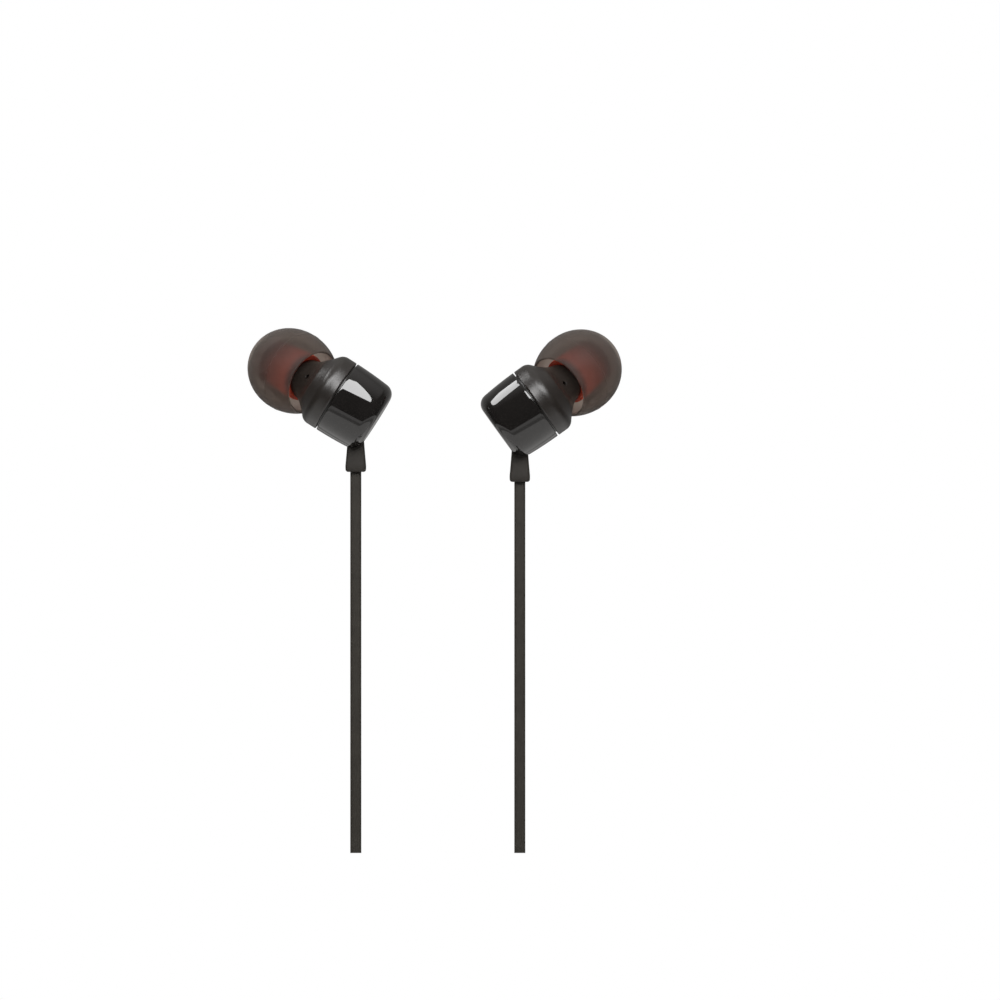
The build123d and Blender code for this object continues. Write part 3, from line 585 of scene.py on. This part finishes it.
def lead_runs(side, start_gap=0.0, strip_ends=0.0):
    """Stations of a lead's lengths: one on the left, and two on the right, round the remote."""
    exit_z = EXITS[side].z - LAYOUT.z
    x = -HALF_SPACING if side == "left" else HALF_SPACING
    if side == "left":
        levels = exit_levels(exit_z, CONVERGE_TOP + 0.5)
    else:
        levels = exit_levels(exit_z, REMOTE_TOP - CABLE_ENTRY - strip_ends)
    top = straight_stations(x, [z for z in levels if start_gap == 0 or z < exit_z - start_gap])
    if side == "left":
        return [with_runs(converging_stations(side, top))]
    below = REMOTE_TOP - REMOTE_LENGTH + CABLE_ENTRY + strip_ends
    rest = straight_stations(x, span(below, CONVERGE_TOP + 0.5, 6))
    return [with_runs(top), with_runs(converging_stations(side, rest))]


def lead_skins():
    """The left lead in one length, and the right lead above and below the remote."""
    names = ("left_lead_skin", "right_lead_upper_skin", "right_lead_lower_skin")
    runs = lead_runs("left") + lead_runs("right")
    return [strip(name, run, lead_section()) for name, run in zip(names, runs)]


def joined(name, pieces):
    """One piece from several."""
    whole = bmesh.new()
    for piece in pieces:
        whole.from_mesh(piece.data)
        bpy.data.objects.remove(piece)
    mesh = bpy.data.meshes.new(name)
    whole.to_mesh(mesh)
    whole.free()
    result = bpy.data.objects.new(name, mesh)
    bpy.context.scene.collection.objects.link(result)
    return result


def wire_skin(side):
    """Both conductors of a lead, which bend with it."""
    wires = []
    for offset in (-WIRE_OFFSET, WIRE_OFFSET):
        section = [(offset + x, y) for x, y, _ in circle(WIRE_R, 0, 12)]
        wires += [strip("wire", run, section) for run in lead_runs(side, 0.1, WIRE_STRIP)]
    return joined(f"{side}_lead_wires_skin", wires)


def trunk_stations():
    """The folded trunk: upright runs joined by half turns, spiralling in and out again in one plane."""
    half = 2 * HANK_CORE + (HANK_LAYERS - 1) * HANK_PITCH
    middle = 2 * SPLITTER_BEND + half
    inward = [(-1) ** (k + 1) * (2 * HANK_CORE + k * HANK_PITCH) for k in range(HANK_LAYERS - 1, -1, -1)]
    hank = [middle + place for place in inward + [0] + [-place for place in reversed(inward)]]
    columns = [0] + hank + [middle + half + 2 * PLUG_BEND]
    across = Vector((math.cos(HANK_TURN), math.sin(HANK_TURN), 0))
    wide = Vector((math.sin(HANK_TURN), -math.cos(HANK_TURN), 0))
    flat = []
    top = SPLIT_LEVEL
    for k, here in enumerate(columns):
        low_end = k % 2 == 0
        bottom = (HANK_LOW if low_end else HANK_HIGH) if k < len(columns) - 1 else TRUNK_END
        sign = -1 if low_end else 1
        flat += [(here, z, (0, sign)) for z in span(top, bottom, 24)]
        if k == len(columns) - 1:
            break
        there = columns[k + 1]
        centre, radius = (here + there) / 2, abs(there - here) / 2
        forward = 1 if there > here else -1
        for a in span(0, math.pi, 28)[1:-1]:
            place = (centre - forward * radius * math.cos(a), bottom + sign * radius * math.sin(a))
            flat.append((*place, (forward * math.sin(a), sign * math.cos(a))))
        top = bottom
    stations = []
    for place, z, heading in flat:
        onward = across * heading[0] + Vector((0, 0, heading[1]))
        stations.append((across * place + Vector((0, 0, z)), wide, onward.cross(wide)))
    return with_runs(stations)


def trunk_skin():
    section = rounded_rectangle(TRUNK_WIDTH, TRUNK_THICKNESS, LEAD_CORNER, 5)
    return strip("trunk_cable_skin", trunk_stations(), section)


def smooth_step(low, high, value):
    t = min(max((value - low) / (high - low), 0), 1)
    return t * t * (3 - 2 * t)


def splitter_skin():
    """Soft moulding over the joint: shouldered, with three relief grooves above its narrow end."""
    height = SPLITTER_TOP - SPLITTER_BOTTOM
    rings = []
    for z in span(0, height, 120):
        shoulder = smooth_step(height * 0.3, height * 0.75, z)
        width = SPLITTER_NECK + (SPLITTER_WIDTH - SPLITTER_NECK) * shoulder
        end = min(z, height - z)
        ease = SPLITTER_EASE * (1 - math.sqrt(max(0, 1 - max(0, 1 - end / SPLITTER_EASE) ** 2)))
        groove = 0.0
        for level in GROOVE_LEVELS:
            groove = max(groove, GROOVE_DEPTH * (1 - smooth_step(0.1, 0.3, abs(z - level))))
        shrink = 2 * (ease + groove)
        section = rounded_rectangle(width - shrink, SPLITTER_DEPTH - shrink, 0.8, 6)
        rings.append([(x, y, SPLITTER_BOTTOM + z) for x, y in section])
    return ring_skin("splitter_skin", rings, Matrix.Translation(LAYOUT), False, 50)


def tie_skin():
    """A soft ribbed strap round the middle of the hank, with eased edges."""
    half = 2 * HANK_CORE + (HANK_LAYERS - 1) * HANK_PITCH
    middle = 2 * SPLITTER_BEND + half
    length, width = 2 * half + TRUNK_THICKNESS + 0.1, TRUNK_WIDTH + 0.1
    rings = []
    profile = [(0.0, -0.5), (0.0, 0.5)]
    outer = []
    for share in span(0.5, -0.5, 56):
        edge = max(0, (abs(share) - TIE_FLAT) / (0.5 - TIE_FLAT))
        place = share if edge == 0 else TIE_FLAT
        rib = RIB_HEIGHT * math.cos(place * 2 * math.pi * RIB_COUNT)
        outer.append((TIE_WALL * math.sqrt(max(0.0, 1 - 0.75 * edge ** 2)) - RIB_HEIGHT + rib, share))
    for grow, share in profile + outer:
        section = rounded_rectangle(length + 2 * grow, width + 2 * grow, 0.45 + grow, 8)
        rings.append([(x, y, share * TIE_HEIGHT) for x, y in section])
    at = Matrix.Translation(LAYOUT + Vector((0, 0, TIE_LEVEL))) @ Matrix.Rotation(HANK_TURN, 4, "Z")
    return ring_skin("cable_tie_skin", rings, at @ Matrix.Translation((middle, 0, 0)), True, 50)


# ======================= materials =======================
def add_node(tree, kind, inputs=None, **settings):
    """A node whose inputs are values, or the sockets they come from."""
    node = tree.nodes.new(kind)
    for key, value in settings.items():
        setattr(node, key, value)
    for key, value in (inputs or {}).items():
        if isinstance(value, bpy.types.NodeSocket):
            tree.links.new(value, node.inputs[key])
        else:
            node.inputs[key].default_value = value
    return node


class Shader:
    """A material under construction; each call adds a node and wires its inputs."""

    def __init__(self, name):
        self.material = bpy.data.materials.new(name)
        self.material.use_nodes = True
        self.tree = self.material.node_tree
        self.tree.nodes.clear()
        place = self.add("ShaderNodeTexCoord")
        self.mm = self.add("ShaderNodeVectorMath", {0: place.outputs["Object"], 1: (1000, 1000, 1000)},
                           operation="MULTIPLY").outputs[0]
        self.along = place.outputs["UV"]

    def add(self, kind, inputs=None, **settings):
        return add_node(self.tree, kind, inputs, **settings)

    def math(self, operation, a, b=0.0):
        return self.add("ShaderNodeMath", {0: a, 1: b}, operation=operation).outputs[0]

    def stretch(self, vector, scale):
        return self.add("ShaderNodeVectorMath", {0: vector, 1: scale}, operation="MULTIPLY").outputs[0]

    def noise(self, scale, detail=3.0, roughness=0.55, vector=None):
        """Noise with `scale` features to a millimetre, from 0 to 1."""
        inputs = {"Vector": self.mm if vector is None else vector, "Scale": scale, "Detail": detail,
                  "Roughness": roughness}
        return self.add("ShaderNodeTexNoise", inputs).outputs[0]

    def ramp(self, value, *stops):
        """A smooth colour ramp through (position, colour) stops."""
        node = self.add("ShaderNodeValToRGB", {0: value})
        elements = node.color_ramp.elements
        for element, (position, colour) in zip((elements[0], elements[-1]), (stops[0], stops[-1])):
            element.position, element.color = position, (*colour, 1)
        for position, colour in stops[1:-1]:
            elements.new(position).color = (*colour, 1)
        return node.outputs[0]

    def map(self, value, low, high, new_low, new_high):
        inputs = {0: value, 1: low, 2: high, 3: new_low, 4: new_high}
        return self.add("ShaderNodeMapRange", inputs).outputs[0]

    def bump(self, height, strength, depth_mm):
        inputs = {"Height": height, "Strength": strength, "Distance": depth_mm * MM}
        return self.add("ShaderNodeBump", inputs).outputs[0]

    def surface(self, socket):
        self.add("ShaderNodeOutputMaterial", {"Surface": socket})
        return self.material

    def principled(self, **inputs):
        named = {key.replace("_", " "): value for key, value in inputs.items()}
        return self.add("ShaderNodeBsdfPrincipled", named).outputs[0]


def shades(colour, spread):
    """A darker and a lighter shade of a colour."""
    return [tuple(c * (1 + sign * spread) for c in colour) for sign in (-1, 1)]


def grained(name, colour, roughness, grain, depth, spread=0.12, metallic=0.0, coat=0.0, specular=0.5):
    """Moulded or metal finish: cloudy colour, fine grain in the surface and uneven gloss."""
    s = Shader(name)
    cloud = s.noise(0.35, 4)
    fine = s.noise(grain, 4, 0.6)
    dark, light = shades(colour, spread)
    base = s.ramp(cloud, (0.3, dark), (0.7, light))
    rough = s.map(s.math("ADD", cloud, fine), 0.6, 1.4, roughness * 0.86, roughness * 1.14)
    return s.surface(s.principled(
        Base_Color=base, Roughness=rough, Metallic=metallic, Normal=s.bump(fine, 0.6, depth),
        Coat_Weight=coat, Coat_Roughness=0.08, Specular_IOR_Level=specular))


def glossy_barrel():
    """Polished black moulding: near-mirror gloss with faint moulding waves and hairline handling marks."""
    s = Shader("glossy_barrel")
    wave = s.noise(0.16, 2)
    hair = s.noise(1.0, 5, 0.7, s.stretch(s.mm, (14, 0.6, 3)))
    rough = s.map(hair, 0.45, 0.8, 0.018, 0.05)
    base = s.ramp(wave, (0.3, (0.0062, 0.0055, 0.0051)), (0.7, (0.0078, 0.0069, 0.0064)))
    normal = s.bump(wave, 0.25, 0.02)
    return s.surface(s.principled(Base_Color=base, Roughness=rough, IOR=1.5, Normal=normal))


def matt_cup():
    """Fine spark-eroded texture with a soft wide sheen."""
    return grained("matt_cup", (0.0108, 0.0086, 0.0072), 0.35, 9, 0.012, 0.08, specular=0.42)


def boot_rubber():
    return grained("boot_rubber", (0.0175, 0.0150, 0.0125), 0.6, 6, 0.015, 0.1, specular=0.22)


def cable_jacket():
    """Extruded jacket: long drag lines, faint mottling and a satin sheen."""
    s = Shader("cable_jacket")
    lines = s.noise(1.0, 4, 0.6, s.stretch(s.along, (9, 0.05, 1)))
    mottle = s.noise(0.5, 3)
    base = s.ramp(s.math("ADD", s.math("MULTIPLY", mottle, 0.7), s.math("MULTIPLY", lines, 0.3)),
                  (0.35, (0.0190, 0.0166, 0.0134)), (0.65, (0.0247, 0.0219, 0.0177)))
    rough = s.map(lines, 0.3, 0.7, 0.42, 0.56)
    return s.surface(s.principled(Base_Color=base, Roughness=rough, Specular_IOR_Level=0.25,
                                  Normal=s.bump(lines, 0.5, 0.02)))


def smoky_silicone():
    """Smoky see-through rubber: some light passes blurred, some scatters, with a faint bloom."""
    s = Shader("smoky_silicone")
    bloom = s.noise(0.5, 4)
    dust = s.noise(7, 3)
    facing = s.add("ShaderNodeLayerWeight", {"Blend": 0.5}).outputs["Facing"]
    edge_shade = s.map(facing, 0.72, 1.0, 1.0, 0.45)
    clear = s.ramp(bloom, (0.3, (0.60, 0.545, 0.50)), (0.7, (0.66, 0.60, 0.555)))
    tint = s.stretch(clear, edge_shade)
    normal = s.bump(dust, 0.25, 0.01)
    through = s.add("ShaderNodeBsdfRefraction",
                    {"Color": tint, "Roughness": 0.34, "IOR": 1.1, "Normal": normal}, distribution="GGX")
    cloudy = s.ramp(bloom, (0.3, (0.112, 0.097, 0.088)), (0.7, (0.130, 0.113, 0.104)))
    smoke = s.stretch(cloudy, edge_shade)
    scatter = s.add("ShaderNodeBsdfDiffuse", {"Color": smoke, "Roughness": 0.4, "Normal": normal})
    glow = s.add("ShaderNodeBsdfTranslucent", {"Color": smoke, "Normal": normal})
    skin = s.add("ShaderNodeMixShader", {0: 0.45, 1: scatter.outputs[0], 2: glow.outputs[0]})
    body = s.add("ShaderNodeMixShader", {0: 0.62, 1: skin.outputs[0], 2: through.outputs[0]})
    sheen = s.add("ShaderNodeBsdfGlossy", {"Color": (0.8, 0.8, 0.8, 1), "Roughness": 0.5, "Normal": normal})
    edge = s.add("ShaderNodeFresnel", {"IOR": 1.3, "Normal": normal})
    weight = s.math("MULTIPLY", edge.outputs[0], 0.3)
    return s.surface(s.add("ShaderNodeMixShader",
                           {0: weight, 1: body.outputs[0], 2: sheen.outputs[0]}).outputs[0])


def red_silicone():
    """Firm orange-red rubber with a painted glow near its open end, standing in for light scattered inside it."""
    s = Shader("red_silicone")
    cloud = s.noise(0.8, 3)
    base = s.ramp(cloud, (0.3, (0.27, 0.046, 0.022)), (0.7, (0.33, 0.060, 0.030)))
    painted_glow_colour = s.ramp(cloud, (0.3, (1.0, 0.13, 0.06)), (0.7, (1.0, 0.17, 0.09)))
    normal = s.bump(s.noise(8, 3), 0.3, 0.01)
    # Strength of the painted glow along the core: rising just inside the open end, then fading away from it.
    along = s.add("ShaderNodeSeparateXYZ", {0: s.along}).outputs["Y"]
    start = s.map(along, 0.9, 2.0, 0.06, 1.0)
    fade = s.map(along, 2.0, 7.0, 0.76, 0.05)
    solid = s.principled(Base_Color=base, Roughness=0.45, Normal=normal, Emission_Color=painted_glow_colour,
                         Emission_Strength=s.math("MULTIPLY", start, fade))
    through = s.add("ShaderNodeBsdfTranslucent", {"Color": base, "Normal": normal})
    return s.surface(s.add("ShaderNodeMixShader", {0: 0.25, 1: solid, 2: through.outputs[0]}).outputs[0])


def copper_wire():
    """Twisted strands drawn as a fine diagonal wave."""
    s = Shader("copper_wire")
    wave = s.add("ShaderNodeTexWave", {"Vector": s.mm, "Scale": 1.6, "Distortion": 1.0, "Detail": 2.0},
                 bands_direction="DIAGONAL").outputs[1]
    base = s.ramp(wave, (0.2, (0.45, 0.20, 0.09)), (0.8, (0.80, 0.42, 0.24)))
    normal = s.bump(wave, 0.6, 0.05)
    return s.surface(s.principled(Base_Color=base, Metallic=1.0, Roughness=0.3, Normal=normal))


def open_foam():
    """Cells of an open foam."""
    s = Shader("open_foam")
    cells = s.add("ShaderNodeTexVoronoi", {"Vector": s.mm, "Scale": 4.0}).outputs[0]
    base = s.ramp(cells, (0.1, (0.02, 0.02, 0.022)), (0.6, (0.16, 0.16, 0.17)))
    return s.surface(s.principled(Base_Color=base, Roughness=0.9, Normal=s.bump(cells, 0.9, 0.08)))


def fibre_paper():
    s = Shader("fibre_paper")
    fibres = s.noise(1.0, 5, 0.7, s.stretch(s.mm, (8, 2, 8)))
    base = s.ramp(fibres, (0.3, (0.66, 0.63, 0.56)), (0.7, (0.84, 0.82, 0.76)))
    return s.surface(s.principled(Base_Color=base, Roughness=0.85, Normal=s.bump(fibres, 0.7, 0.03)))


def woven_strap():
    """Soft strap with a fine hooked weave."""
    s = Shader("woven_strap")
    weave = s.add("ShaderNodeTexWave", {"Vector": s.mm, "Scale": 1.1, "Distortion": 0.6},
                  bands_direction="Z")
    loops = s.add("ShaderNodeTexVoronoi", {"Vector": s.mm, "Scale": 3.2}).outputs[0]
    height = s.math("ADD", weave.outputs[1], loops)
    base = s.ramp(height, (0.3, (0.035, 0.033, 0.031)), (1.0, (0.085, 0.080, 0.075)))
    return s.surface(s.principled(Base_Color=base, Roughness=0.8, Normal=s.bump(height, 0.8, 0.08)))


def board_green():
    """Solder mask over faint tracks."""
    s = Shader("board_green")
    tracks = s.add("ShaderNodeTexBrick", {"Vector": s.mm, "Scale": 1.2, "Mortar Size": 0.05}).outputs[1]
    base = s.ramp(tracks, (0.2, (0.012, 0.13, 0.05)), (0.8, (0.03, 0.24, 0.10)))
    return s.surface(s.principled(Base_Color=base, Roughness=0.3, Normal=s.bump(tracks, 0.4, 0.03)))


def build_materials():
    """One material for each of the record's slots."""
    return {
        "glossy_barrel": glossy_barrel(),
        "matt_cup": matt_cup(),
        "boot_rubber": boot_rubber(),
        "cable_jacket": cable_jacket(),
        "conductors": copper_wire(),
        "smoky_silicone": smoky_silicone(),
        "red_silicone": red_silicone(),
        "steel_mesh": grained("steel_mesh", (0.40, 0.39, 0.38), 0.3, 12, 0.01, metallic=1.0),
        "foam": open_foam(),
        "driver_plastic": grained("driver_plastic", (0.035, 0.035, 0.036), 0.5, 8, 0.012),
        "soft_iron": grained("soft_iron", (0.42, 0.41, 0.40), 0.38, 10, 0.01, metallic=1.0),
        "magnet_plating": grained("magnet_plating", (0.66, 0.64, 0.60), 0.16, 6, 0.006, 0.05, 1.0),
        "enamelled_copper": grained("enamelled_copper", (0.60, 0.22, 0.08), 0.25, 10, 0.02, 0.2, 1.0, 0.4),
        "diaphragm_film": grained("diaphragm_film", (0.62, 0.60, 0.55), 0.2, 4, 0.008, 0.06, coat=0.6),
        "pressed_steel": grained("pressed_steel", (0.52, 0.51, 0.50), 0.33, 12, 0.01, 0.1, 1.0),
        "damping_paper": fibre_paper(),
        "board_green": board_green(),
        "microphone_can": grained("microphone_can", (0.70, 0.70, 0.71), 0.22, 8, 0.006, 0.05, 1.0),
        "tie_strap": woven_strap(),
        "gold_contact": grained("gold_contact", (0.86, 0.60, 0.25), 0.26, 10, 0.004, 0.05, 1.0),
        "insulator_plastic": grained("insulator_plastic", (0.012, 0.012, 0.012), 0.25, 6, 0.006, 0.1,
                                     coat=0.3),
    }


# ======================= assembly =======================
def paint(piece, materials, slot):
    piece.data.materials.clear()
    piece.data.materials.append(materials[slot])


def paint_cad_nodes(materials):
    """Each CAD node takes the material of its slot in the record."""
    for part in frame["record"]["subparts"]:
        name = part["node"]
        paint(frame["nodes"][name], materials, part["material_slot"])


def build_bud(side, materials):
    skins = [
        (barrel_skin(side), "glossy_barrel", "rear_housing", "bud"),
        (cup_skin(side), "matt_cup", "front_housing", "bud"),
        (boot_skin(side), "boot_rubber", "boot", "bud"),
        (dome_skin(side), "smoky_silicone", "ear_tip_skirt", "ear_tip"),
        (core_skin(side), "red_silicone", "ear_tip_core", "ear_tip"),
    ]
    for piece, slot, node, body in skins:
        paint(piece, materials, slot)
        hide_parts(f"{side}_{node}")
        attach(piece, f"{side}_{body}")


def build_cables(materials):
    left, upper, lower = lead_skins()
    bending = [("left", left, "cable_jacket", ("left_lead", "left_lead_tail")),
               ("right", upper, "cable_jacket", ("right_lead_upper", "right_lead_tail"))]
    for side in ("left", "right"):
        bending.append((side, wire_skin(side), "conductors", (f"{side}_lead_wires",)))
    for side, piece, slot, nodes in bending:
        paint(piece, materials, slot)
        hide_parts(*nodes)
        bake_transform(piece)
    others = [(lower, "cable_jacket", "right_lead_lower"), (trunk_skin(), "cable_jacket", "trunk_cable"),
              (splitter_skin(), "boot_rubber", "splitter"), (tie_skin(), "tie_strap", "cable_tie")]
    for piece, slot, node in others:
        paint(piece, materials, slot)
        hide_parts(node)
        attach(piece, "cable")


# ======================= stage =======================
def centre_of_buds():
    return Vector((LAYOUT.x, LAYOUT.y, LAYOUT.z + 10)) * MM


def direction(azimuth, elevation):
    """A unit vector: azimuth 0 faces the viewer and grows to the right, elevation is above the horizon."""
    a, e = math.radians(azimuth), math.radians(elevation)
    return Vector((math.sin(a) * math.cos(e), -math.cos(a) * math.cos(e), math.sin(e)))


def emission(name, strength):
    """Glow of a panel; matt surfaces get less of it, as from a grid that keeps the light off the room."""
    s = Shader(name)
    diffuse = s.add("ShaderNodeLightPath").outputs["Is Diffuse Ray"]
    power = s.map(diffuse, 0, 1, strength, strength * DIFFUSE_SHARE)
    return s.surface(s.add("ShaderNodeEmission", {"Strength": power}).outputs[0])


def softbox(name, corners, strength):
    """A gently curved glowing panel; its four corners are (azimuth, elevation) as seen from the buds."""
    low_left, low_right, high_right, high_left = (Vector(corner) for corner in corners)
    shares = [step / PANEL_STEPS for step in range(PANEL_STEPS + 1)]
    places = []
    for up in shares:
        for across in shares:
            seen = low_left.lerp(low_right, across).lerp(high_left.lerp(high_right, across), up)
            places.append(centre_of_buds() + direction(*seen) * PANEL_AWAY)
    row = len(shares)
    corner_ids = [line * row + place for line in range(PANEL_STEPS) for place in range(PANEL_STEPS)]
    mesh = bpy.data.meshes.new(name)
    mesh.from_pydata(places, [], [(first, first + 1, first + row + 1, first + row) for first in corner_ids])
    panel = bpy.data.objects.new(name, mesh)
    bpy.context.scene.collection.objects.link(panel)
    panel.data.materials.append(emission(name, strength))
    panel.visible_camera = False
    panel.visible_transmission = False


def build_world():
    """White to the camera and through the silicone; darker in front, as a studio is, for reflections."""
    world = bpy.data.worlds.new("studio")
    bpy.context.scene.world = world
    world.use_nodes = True
    tree = world.node_tree
    tree.nodes.clear()

    def add(kind, inputs=None, **settings):
        return add_node(tree, kind, inputs, **settings)

    look = add("ShaderNodeTexCoord").outputs["Generated"]
    parts = add("ShaderNodeSeparateXYZ", {0: look})
    path = add("ShaderNodeLightPath")
    rim = add("ShaderNodeMapRange", {0: path.outputs["Is Glossy Ray"], 3: 1.0, 4: 0.3}).outputs[0]
    behind = add("ShaderNodeMapRange", {0: parts.outputs["Y"], 1: -0.1, 2: 0.6, 3: 0.0, 4: rim},
                 interpolation_type="SMOOTHSTEP").outputs[0]
    above = add("ShaderNodeMapRange", {0: parts.outputs["Z"], 1: 0.55, 2: 0.95, 3: 0.0, 4: 0.7},
                interpolation_type="SMOOTHSTEP").outputs[0]
    height = add("ShaderNodeMath", {0: parts.outputs["Z"], 1: 1.0}).outputs[0]
    below = add("ShaderNodeValToRGB", {0: height})
    # How bright the ground looks in reflections, from straight down at 0 to the horizon at 1.
    floor_steps = ((0.36, 1.0), (0.39, 0.42), (0.46, 0.42), (0.50, 0.72), (0.58, 0.72), (0.595, 0.0))
    for place, level in floor_steps:
        below.color_ramp.elements.new(place).color = (level, level, level, 1)
    for end, level in ((0, 1.0), (-1, 0.0)):
        below.color_ramp.elements[end].color = (level, level, level, 1)
    below = add("ShaderNodeMath", {0: below.outputs[0], 1: GROUND_GAIN}, operation="MULTIPLY").outputs[0]
    lit = add("ShaderNodeMath", {0: behind, 1: above}, operation="MAXIMUM").outputs[0]
    lit = add("ShaderNodeMath", {0: lit, 1: below}, operation="MAXIMUM").outputs[0]
    lit = add("ShaderNodeMath", {0: lit, 1: DARKEST}, operation="MAXIMUM").outputs[0]
    studio = add("ShaderNodeBackground", {"Color": (1, 0.985, 0.965, 1), "Strength": lit})
    white = add("ShaderNodeBackground", {"Color": (1, 1, 1, 1), "Strength": 1.0})
    seen = add("ShaderNodeMath", {0: path.outputs["Is Camera Ray"], 1: path.outputs["Is Transmission Ray"]},
               operation="MAXIMUM").outputs[0]
    mixed = add("ShaderNodeMixShader", {0: seen, 1: studio.outputs[0], 2: white.outputs[0]})
    add("ShaderNodeOutputWorld", {"Surface": mixed.outputs[0]})


def build_floor():
    """A pale round floor just under the plug, fading into the white background at its rim."""
    radius, drop = 0.33, 0.004
    low, high = cad_box
    centre = (low + high) / 2
    points = [(centre.x, centre.y, low.z - drop)]
    points += [(centre.x + radius * math.cos(a), centre.y + radius * math.sin(a), low.z - drop)
               for a in span(0, 2 * math.pi, 96)[:-1]]
    mesh = bpy.data.meshes.new("floor")
    mesh.from_pydata(points, [], [(0, k, k % 96 + 1) for k in range(1, 97)])
    floor = bpy.data.objects.new("floor", mesh)
    bpy.context.scene.collection.objects.link(floor)
    s = Shader("pale_floor")
    offset = s.add("ShaderNodeVectorMath", {0: s.mm, 1: tuple(centre / MM)},
                   operation="SUBTRACT").outputs[0]
    flat = s.stretch(offset, (1, 1, 0))
    away = s.add("ShaderNodeVectorMath", {0: flat}, operation="LENGTH").outputs["Value"]
    fade = s.map(away, radius / MM * 0.35, radius / MM * 0.98, 0.0, 1.0)
    ground = s.add("ShaderNodeBsdfDiffuse", {"Color": (0.86, 0.86, 0.855, 1)})
    clear = s.add("ShaderNodeBsdfTransparent")
    s.surface(s.add("ShaderNodeMixShader", {0: fade, 1: ground.outputs[0], 2: clear.outputs[0]}).outputs[0])
    floor.data.materials.append(s.material)
    floor.visible_glossy = False


def build_camera():
    distance = FRAME_WIDTH * LENS / SENSOR
    data = bpy.data.cameras.new("camera")
    data.lens, data.sensor_width = LENS, SENSOR
    data.clip_start = 0.005
    camera = bpy.data.objects.new("camera", data)
    camera.location = (LAYOUT + AIM - Vector((0, distance, 0))) * MM
    camera.rotation_euler = (math.pi / 2, 0, 0)
    bpy.context.scene.collection.objects.link(camera)
    bpy.context.scene.camera = camera
    build_crop_card(camera.location, distance * MM)


def build_crop_card(lens, distance):
    """A white card close to the lens ends the main picture where the photographer's crop does.

    It is seen only by a camera within a few centimetres, so every other view shows the whole object."""
    ahead = CARD_AHEAD
    top = CROP_BELOW * MM * ahead / distance
    y = lens.y + ahead
    corners = [(lens.x - ahead, y, lens.z - top), (lens.x + ahead, y, lens.z - top),
               (lens.x + ahead, y, lens.z - ahead), (lens.x - ahead, y, lens.z - ahead)]
    mesh = bpy.data.meshes.new("crop_card")
    mesh.from_pydata(corners, [], [(0, 1, 2, 3)])
    card = bpy.data.objects.new("crop_card", mesh)
    bpy.context.scene.collection.objects.link(card)
    s = Shader("crop_card")
    away = s.add("ShaderNodeCameraData").outputs["View Distance"]
    far = s.math("GREATER_THAN", away, CARD_SEEN_WITHIN)
    white = s.add("ShaderNodeEmission", {"Strength": 1.0})
    clear = s.add("ShaderNodeBsdfTransparent")
    s.surface(s.add("ShaderNodeMixShader", {0: far, 1: white.outputs[0], 2: clear.outputs[0]}).outputs[0])
    card.data.materials.append(s.material)
    for ray in ("diffuse", "glossy", "transmission", "volume_scatter", "shadow"):
        setattr(card, f"visible_{ray}", False)


def build_lights():
    """A large key panel above the camera, leaning up to the right, and a narrow strip high on the left."""
    softbox("key_softbox", [(-12, 20), (30, 30), (58, 55), (-34, 43)], KEY_STRENGTH)
    softbox("side_softbox", [(-116, 49), (-69, 46), (-69, 56), (-116, 56)], SIDE_STRENGTH)


materials = build_materials()
paint_cad_nodes(materials)
for side in ("left", "right"):
    build_bud(side, materials)
build_cables(materials)
build_world()
build_lights()
build_floor()
build_camera()
bpy.context.scene.view_settings.view_transform = "Standard"
